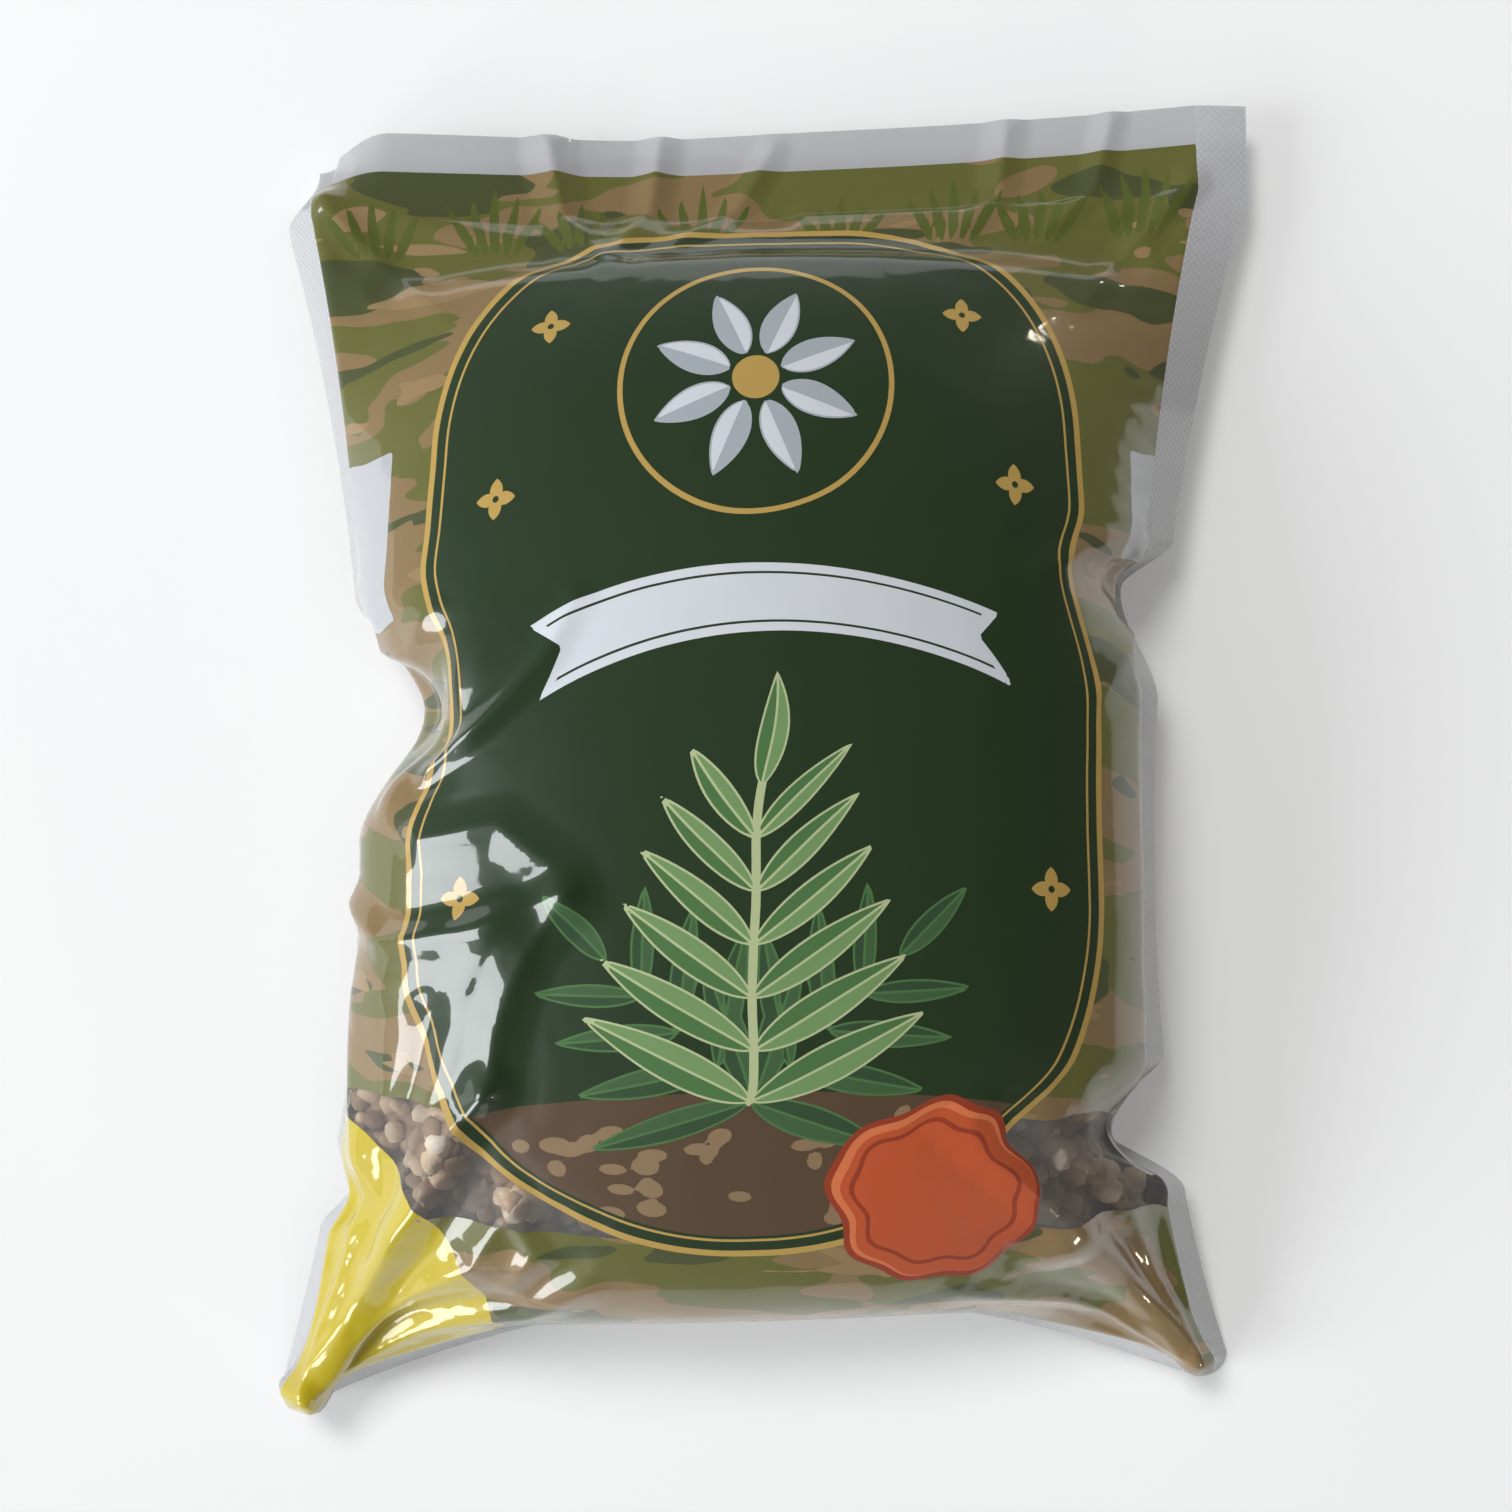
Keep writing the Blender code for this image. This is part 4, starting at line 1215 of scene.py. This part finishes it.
def soil_body(mesh_data, fields):
    """The main soil mass, a closed lumpy body just inside both films."""
    front, back = solved_films()
    rows = slice(SEAM_CELLS + SOIL_INSET, -(TOP_CELLS + SOIL_INSET), 2)
    columns = slice(SEAM_CELLS + SOIL_INSET, -(SEAM_CELLS + SOIL_INSET), 2)
    part = (rows, columns)
    front_in = grid_normals(front)[part] * -1
    back_in = grid_normals(back)[part]
    seen = np.minimum(-fields["clear_band"], np.minimum(fields["panel"], fields["disc"]))
    near_band = ease((seen + SOIL_BAND_EDGE) / SOIL_BAND_EDGE)[part]
    lumps = 0.5 + 0.5 * ripple(front.shape[:2], SOIL_LUMP_CELLS, SOIL_LUMP_SEED)[part]
    depth = SOIL_GAP + SOIL_LUMPS * lumps
    upper = front[part] + front_in * (depth + SOIL_BAND_DEPTH * near_band)[..., None]
    lower = back[part] + back_in * depth[..., None]
    lower[..., 2] = np.minimum(lower[..., 2], upper[..., 2] - SOIL_LEAST)
    height, width = upper.shape[:2]
    count = height * width
    faces = [grid_faces(height, width, True), grid_faces(height, width, False) + count]
    index = np.arange(count).reshape(height, width)
    rim = np.concatenate([index[0, :-1], index[:-1, -1], index[-1, :0:-1], index[:0:-1, 0]])
    next_rim = np.roll(rim, -1)
    faces.append(np.stack([rim, rim + count, next_rim + count, next_rim], axis=-1))
    mesh_data["points"].append(np.concatenate([upper.reshape(-1, 3), lower.reshape(-1, 3)]))
    mesh_data["faces"].append(np.concatenate(faces))
    # Painted shade: the body takes a dark soil tone, so that the gaps between the granules look shaded
    mesh_data["tones"].append(np.full(2 * count, SOIL_GAP_SHADE_TONE))


def lump_shape():
    """The points and triangles of a ball, the start of each granule."""
    shape = bmesh.new()
    bmesh.ops.create_icosphere(shape, subdivisions=2, radius=1.0)
    points = np.array([corner.co[:] for corner in shape.verts])
    faces = np.array([[corner.index for corner in face.verts] for face in shape.faces])
    shape.free()
    return points, faces


def granule_places(random, layer, pitch, band_height):
    """Places on the flat web for one layer of granules, a jittered grid over the clear band."""
    reach = band_height / 2 + GRANULES_PAST_BAND
    across = np.arange(-HALF_CAVITY + GRANULES_FROM_SIDE[0], HALF_CAVITY - GRANULES_FROM_SIDE[1], pitch)
    up = np.arange(BAND_CENTRE - reach, BAND_CENTRE + reach + GRANULE_ROW_MARGIN, pitch)
    places = []
    for row, v in enumerate(up):
        for u in across + (row + layer) % 2 * pitch / 2:
            jitter = random.uniform(-GRANULE_JITTER, GRANULE_JITTER, 2) * pitch
            places.append((u + jitter[0], v + BAND_TILT * u + jitter[1]))
    return places


def add_granules(mesh_data, fields, fill, band_height):
    """Granules in two layers under the front film's clear band."""
    film = solved_films()[0]
    inward = -grid_normals(film)
    random = np.random.default_rng(GRANULE_SEED)
    ball, ball_faces = lump_shape()
    start = sum(len(points) for points in mesh_data["points"])
    for layer in (0, 1):
        for u, v in granule_places(random, layer, fill.granule_pitch, band_height):
            column = int(round(np.interp(u, *column_map())))
            row = int(round(v / BAG_HEIGHT * CELLS_UP))
            if hidden_by_print(fields, row, column):
                continue
            radius = random.uniform(fill.smallest_radius, fill.largest_radius)
            stretch = random.uniform(*GRANULE_STRETCH, 3)
            lobes = random.normal(size=(GRANULE_LOBES, 3))
            turns = ball @ lobes.T * GRANULE_LOBE_PITCH + random.uniform(0, 6, GRANULE_LOBES)
            bulge = 1 + GRANULE_BULGE * np.sin(turns).sum(axis=1)
            turned = ball * bulge[:, None] * stretch @ random_turn(random)
            reach = radius * abs(turned @ inward[row, column]).max()
            centre = film[row, column] + inward[row, column] * (reach + GRANULE_GAP + layer * GRANULE_LAYER)
            points = centre + turned * radius
            mesh_data["points"].append(points)
            mesh_data["faces"].append(ball_faces + start)
            tone = np.clip(random.beta(*GRANULE_TONES) - LOWER_LAYER_SHADE * layer, 0.02, 1.0)
            mesh_data["tones"].append(np.full(len(points), tone))
            start += len(points)


def hidden_by_print(fields, row, column):
    """Whether the panel or the disc covers a place well inside its edge."""
    return min(fields["panel"][row, column], fields["disc"][row, column]) < UNDER_PRINT


def random_turn(random):
    """A random rotation matrix."""
    turned, _ = np.linalg.qr(random.normal(size=(3, 3)))
    return turned


def build_soil(look, fill):
    """The soil: one body under both films and loose granules under the clear band."""
    fields = print_fields(*flat_grid(1), look)
    mesh_data = {"points": [], "faces": [], "tones": []}
    soil_body(mesh_data, fields)
    body_faces = mesh_data["faces"][0]
    add_granules(mesh_data, fields, fill, look.band_height)
    granule_faces = np.concatenate(mesh_data["faces"][1:])
    mesh = bpy.data.meshes.new("granules")
    points = np.concatenate(mesh_data["points"])
    mesh.from_pydata(points.tolist(), [], body_faces.tolist() + granule_faces.tolist())
    tone = mesh.attributes.new("tone", "FLOAT", "POINT")
    tone.data.foreach_set("value", np.concatenate(mesh_data["tones"]).astype(np.float32))
    add_piece("granules", mesh, granule_material(fill), "granule_fill")


def add_light(name, place, aim, size, energy, colour=(1.0, 1.0, 1.0)):
    """A rectangular soft light."""
    data = bpy.data.lights.new(name, "AREA")
    data.shape = "RECTANGLE"
    data.size, data.size_y = size
    data.energy = energy
    data.color = colour
    light = bpy.data.objects.new(name, data)
    light.location = place
    light.rotation_euler = (Vector(aim) - Vector(place)).to_track_quat("-Z", "Y").to_euler()
    bpy.context.scene.collection.objects.link(light)
    return light


def add_group(name, lights, energy, colour):
    """Rectangular lights of one brightness, given their places and sizes, that share a power."""
    area = sum(width * height for _, (width, height) in lights)
    for number, (place, size) in enumerate(lights):
        share = size[0] * size[1] / area
        add_light(f"{name}_{number}", place, SIDE_LIGHT_AIM, size, energy * share, colour)


def build_sky(strength):
    """An even room around the bag, paler on the left."""
    world = bpy.data.worlds.new("room")
    world.use_nodes = True
    tree = world.node_tree
    background = tree.nodes["Background"]
    background.inputs["Strength"].default_value = strength
    aim = put(tree, "TexCoord").outputs["Generated"]
    across = put(tree, "SeparateXYZ", {0: aim}).outputs["X"]
    share = put(tree, "MapRange", {"Value": across, "From Min": -1.0, "From Max": 1.0}).outputs[0]
    ramp = put(tree, "ValToRGB", {0: share})
    ramp.color_ramp.elements[0].color = SKY_LEFT
    ramp.color_ramp.elements[1].color = SKY_RIGHT
    tree.links.new(ramp.outputs[0], background.inputs["Color"])
    return world


def build_floor():
    """A pale floor, which glows a little where the camera sees it."""
    bpy.ops.mesh.primitive_plane_add(size=FLOOR_SIZE)
    floor = bpy.context.object
    floor.name = "floor"
    material, tree, output = new_material("floor")
    finish = {"Base Color": FLOOR_COLOUR, "Roughness": 0.9, "Specular IOR Level": 0.1}
    shader = put(tree, "BsdfPrincipled", finish).outputs[0]
    glow = put(tree, "Emission", {"Color": FLOOR_GLOW, "Strength": 1.0}).outputs[0]
    seen = put(tree, "LightPath").outputs["Is Camera Ray"]
    share = calculate(tree, "MULTIPLY", seen, GLOW_SHARE)
    tree.links.new(choose(tree, share, shader, glow), output.inputs["Surface"])
    floor.data.materials.append(material)


def build_camera():
    """The camera straight above the bag."""
    data = bpy.data.cameras.new("camera")
    data.sensor_width = SENSOR_WIDTH
    data.lens = SENSOR_WIDTH * CAMERA_PLACE[2] / PICTURE_WIDTH
    camera = bpy.data.objects.new("camera", data)
    camera.location = CAMERA_PLACE
    bpy.context.scene.collection.objects.link(camera)
    bpy.context.scene.camera = camera


def build_stage(settings):
    """The floor, the lights, the sky and the camera."""
    build_floor()
    add_group("window", WINDOW_PANES, settings.window_power, WINDOW_TINT)
    add_group("lamp", LAMPS, settings.lamp_power, LAMP_TINT)
    overhead = add_light("overhead", OVERHEAD_PLACE, OVERHEAD_AIM, OVERHEAD_SIZE, settings.overhead_power)
    overhead.visible_glossy = False
    bpy.context.scene.world = build_sky(settings.sky_strength)
    build_camera()
    bpy.context.scene.view_settings.view_transform = "Standard"


def size_setting(name, description, default):
    """A length for the panel, in metres."""
    settings = {"min": 0.0001, "precision": 4, "unit": "LENGTH"}
    return bpy.props.FloatProperty(name=name, description=description, default=default, **settings)


def colour_setting(name, description, red, green, blue):
    """A colour for the panel, from its values as seen, 0 to 255."""
    settings = {"size": 4, "min": 0.0, "max": 1.0, "subtype": "COLOR"}
    default = linear(red, green, blue)
    return bpy.props.FloatVectorProperty(name=name, description=description, default=default, **settings)


def power_setting(name, description, default):
    """A light's power for the panel, in watts."""
    return bpy.props.FloatProperty(name=name, description=description, default=default, min=0.0, unit="POWER")


class CompostBagPrint(bpy.types.PropertyGroup):
    """Sizes and colours of the print"""

    panel_width: size_setting("Panel width", "Width of the dark panel on the flat bag", 0.149)
    panel_height: size_setting("Panel height", "Height of the dark panel on the flat bag", 0.232)
    panel_upper_radius: size_setting("Upper corner radius", "Radius of the panel's two upper corners", 0.056)
    panel_lower_radius: size_setting("Lower corner radius", "Radius of the panel's two lower corners", 0.072)
    band_height: size_setting("Clear band height", "Height of the clear band that shows the granules", 0.026)
    disc_radius: size_setting("Disc radius", "Radius of the wavy orange disc", 0.0215)
    ring_radius: size_setting("Ring radius", "Radius of the ring round the flower", 0.030)
    ribbon_height: size_setting("Ribbon height", "Height of the arched ribbon", 0.0144)
    ribbon_length: size_setting("Ribbon length", "Length of the arched ribbon", 0.104)
    star_radius: size_setting("Star radius", "Radius of the small stars", 0.0046)
    pebbles: bpy.props.IntProperty(name="Pebbles", description="Number of printed pebbles", default=46, min=0)
    tan: colour_setting("Tan", "Ground colour of the camouflage", 132, 109, 72)
    pale_tan: colour_setting("Pale tan", "Palest patches of the camouflage", 145, 120, 82)
    olive: colour_setting("Olive", "Olive patches of the camouflage", 98, 98, 42)
    dark_olive: colour_setting("Dark olive", "Darkest patches of the camouflage", 70, 76, 40)
    grass: colour_setting("Grass", "Grass along the top", 84, 92, 30)
    panel_green: colour_setting("Panel green", "Ground colour of the panel", 25, 48, 15)
    gold: colour_setting("Gold", "Lines, stars and the flower's heart", 182, 150, 78)
    white: colour_setting("White", "Petals and ribbon", 208, 212, 218)
    shade_white: colour_setting("Shaded white", "Shaded halves of the petals", 164, 172, 178)
    strip_white: colour_setting("Strip white", "Plain strips at the sides", 176, 178, 182)
    cream: colour_setting("Cream", "Plain label field on the back", 206, 198, 178)
    yellow: colour_setting("Yellow", "Lower left corner", 190, 170, 8)
    orange: colour_setting("Orange", "Disc", 190, 82, 40)
    pale_orange: colour_setting("Pale orange", "Lit rim of the disc", 214, 116, 70)
    deep_orange: colour_setting("Deep orange", "Lines on the disc", 150, 54, 24)
    pale_leaf: colour_setting("Pale leaf", "Lit halves of the front leaves", 112, 146, 92)
    leaf: colour_setting("Leaf", "Shaded halves of the front leaves", 72, 112, 62)
    leaf_edge: colour_setting("Leaf edge", "Edges and midribs of the front leaves", 176, 186, 140)
    deep_leaf: colour_setting("Deep leaf", "Lit halves of the leaves behind", 60, 92, 54)
    shade_leaf: colour_setting("Shaded leaf", "Shaded halves of the leaves behind", 44, 72, 42)
    ground: colour_setting("Ground", "Printed ground under the leaves", 84, 64, 44)
    pebble: colour_setting("Pebble", "Pebbles on the printed ground", 136, 112, 82)


class CompostBagFill(bpy.types.PropertyGroup):
    """Sizes and colours of the soil granules"""

    granule_pitch: size_setting("Granule pitch", "Distance between neighbouring granules", 0.0052)
    smallest_radius: size_setting("Smallest radius", "Radius of the smallest granules", 0.0021)
    largest_radius: size_setting("Largest radius", "Radius of the largest granules", 0.0034)
    # The darkest granules' own colour, and painted shade for the soil body seen in the gaps between the
    # granules
    dark_soil_and_gap_shade: colour_setting("Dark soil", "Soil between the granules", 138, 114, 92)
    brown_soil: colour_setting("Brown soil", "Dark granules", 199, 170, 139)
    tan_soil: colour_setting("Tan soil", "Most granules", 237, 212, 180)
    pale_soil: colour_setting("Pale soil", "Pale granules", 247, 231, 205)
    palest_soil: colour_setting("Palest soil", "Palest granules", 251, 242, 224)


class CompostBagStage(bpy.types.PropertyGroup):
    """Strengths of the stage's lights"""

    window_power: power_setting("Window power", "Power of the low panes that the film mirrors", 195.0)
    lamp_power: power_setting("Lamp power", "Power of the small warm lamps on the right", 10.0)
    overhead_power: power_setting("Overhead power", "Power of the large soft light above the bag", 37.0)
    sky_strength: bpy.props.FloatProperty(
        name="Sky strength",
        description="Strength of the even light from all round",
        default=0.5,
        min=0.0,
        subtype="FACTOR",
    )


class COMPOSTBAG_OT_soil(bpy.types.Operator):
    """Add the soil and its granules"""

    bl_idname = "compost_bag.soil"
    bl_label = "Add soil"

    def execute(self, context):
        build_soil(context.scene.compost_bag_print, context.scene.compost_bag_fill)
        return {"FINISHED"}


class COMPOSTBAG_OT_back_film(bpy.types.Operator):
    """Add the back film"""

    bl_idname = "compost_bag.back_film"
    bl_label = "Add back film"

    def execute(self, context):
        build_back_film(context.scene.compost_bag_print)
        return {"FINISHED"}


class COMPOSTBAG_OT_front_film(bpy.types.Operator):
    """Add the printed front film"""

    bl_idname = "compost_bag.front_film"
    bl_label = "Add front film"

    def execute(self, context):
        build_front_film(context.scene.compost_bag_print)
        return {"FINISHED"}


class COMPOSTBAG_OT_stage(bpy.types.Operator):
    """Add the floor, the lights and the camera"""

    bl_idname = "compost_bag.stage"
    bl_label = "Add stage"

    def execute(self, context):
        build_stage(context.scene.compost_bag_stage)
        return {"FINISHED"}


class COMPOSTBAG_PT_panel(bpy.types.Panel):
    """Buttons and settings in the 3D view's sidebar"""

    bl_label = "Compost bag"
    bl_idname = "COMPOSTBAG_PT_panel"
    bl_space_type = "VIEW_3D"
    bl_region_type = "UI"
    bl_category = "Compost bag"

    def draw(self, context):
        column = self.layout.column()
        for settings in (
            context.scene.compost_bag_print,
            context.scene.compost_bag_fill,
            context.scene.compost_bag_stage,
        ):
            for name in settings.__annotations__:
                column.prop(settings, name)
        for name in ("front_film", "back_film", "soil", "stage"):
            column.operator("compost_bag." + name)


CLASSES = (
    CompostBagPrint,
    CompostBagFill,
    CompostBagStage,
    COMPOSTBAG_OT_soil,
    COMPOSTBAG_OT_back_film,
    COMPOSTBAG_OT_front_film,
    COMPOSTBAG_OT_stage,
    COMPOSTBAG_PT_panel,
)


def register():
    """Adds the settings, operators and panel."""
    for one in CLASSES:
        bpy.utils.register_class(one)
    bpy.types.Scene.compost_bag_print = bpy.props.PointerProperty(type=CompostBagPrint)
    bpy.types.Scene.compost_bag_fill = bpy.props.PointerProperty(type=CompostBagFill)
    bpy.types.Scene.compost_bag_stage = bpy.props.PointerProperty(type=CompostBagStage)


def unregister():
    """Removes them again."""
    del bpy.types.Scene.compost_bag_print
    del bpy.types.Scene.compost_bag_fill
    del bpy.types.Scene.compost_bag_stage
    for one in reversed(CLASSES):
        bpy.utils.unregister_class(one)


def main():
    """Builds the dressed bag and its stage."""
    register()
    bpy.ops.compost_bag.front_film()
    bpy.ops.compost_bag.back_film()
    bpy.ops.compost_bag.soil()
    bpy.ops.compost_bag.stage()


if __name__ == "__main__":
    main()
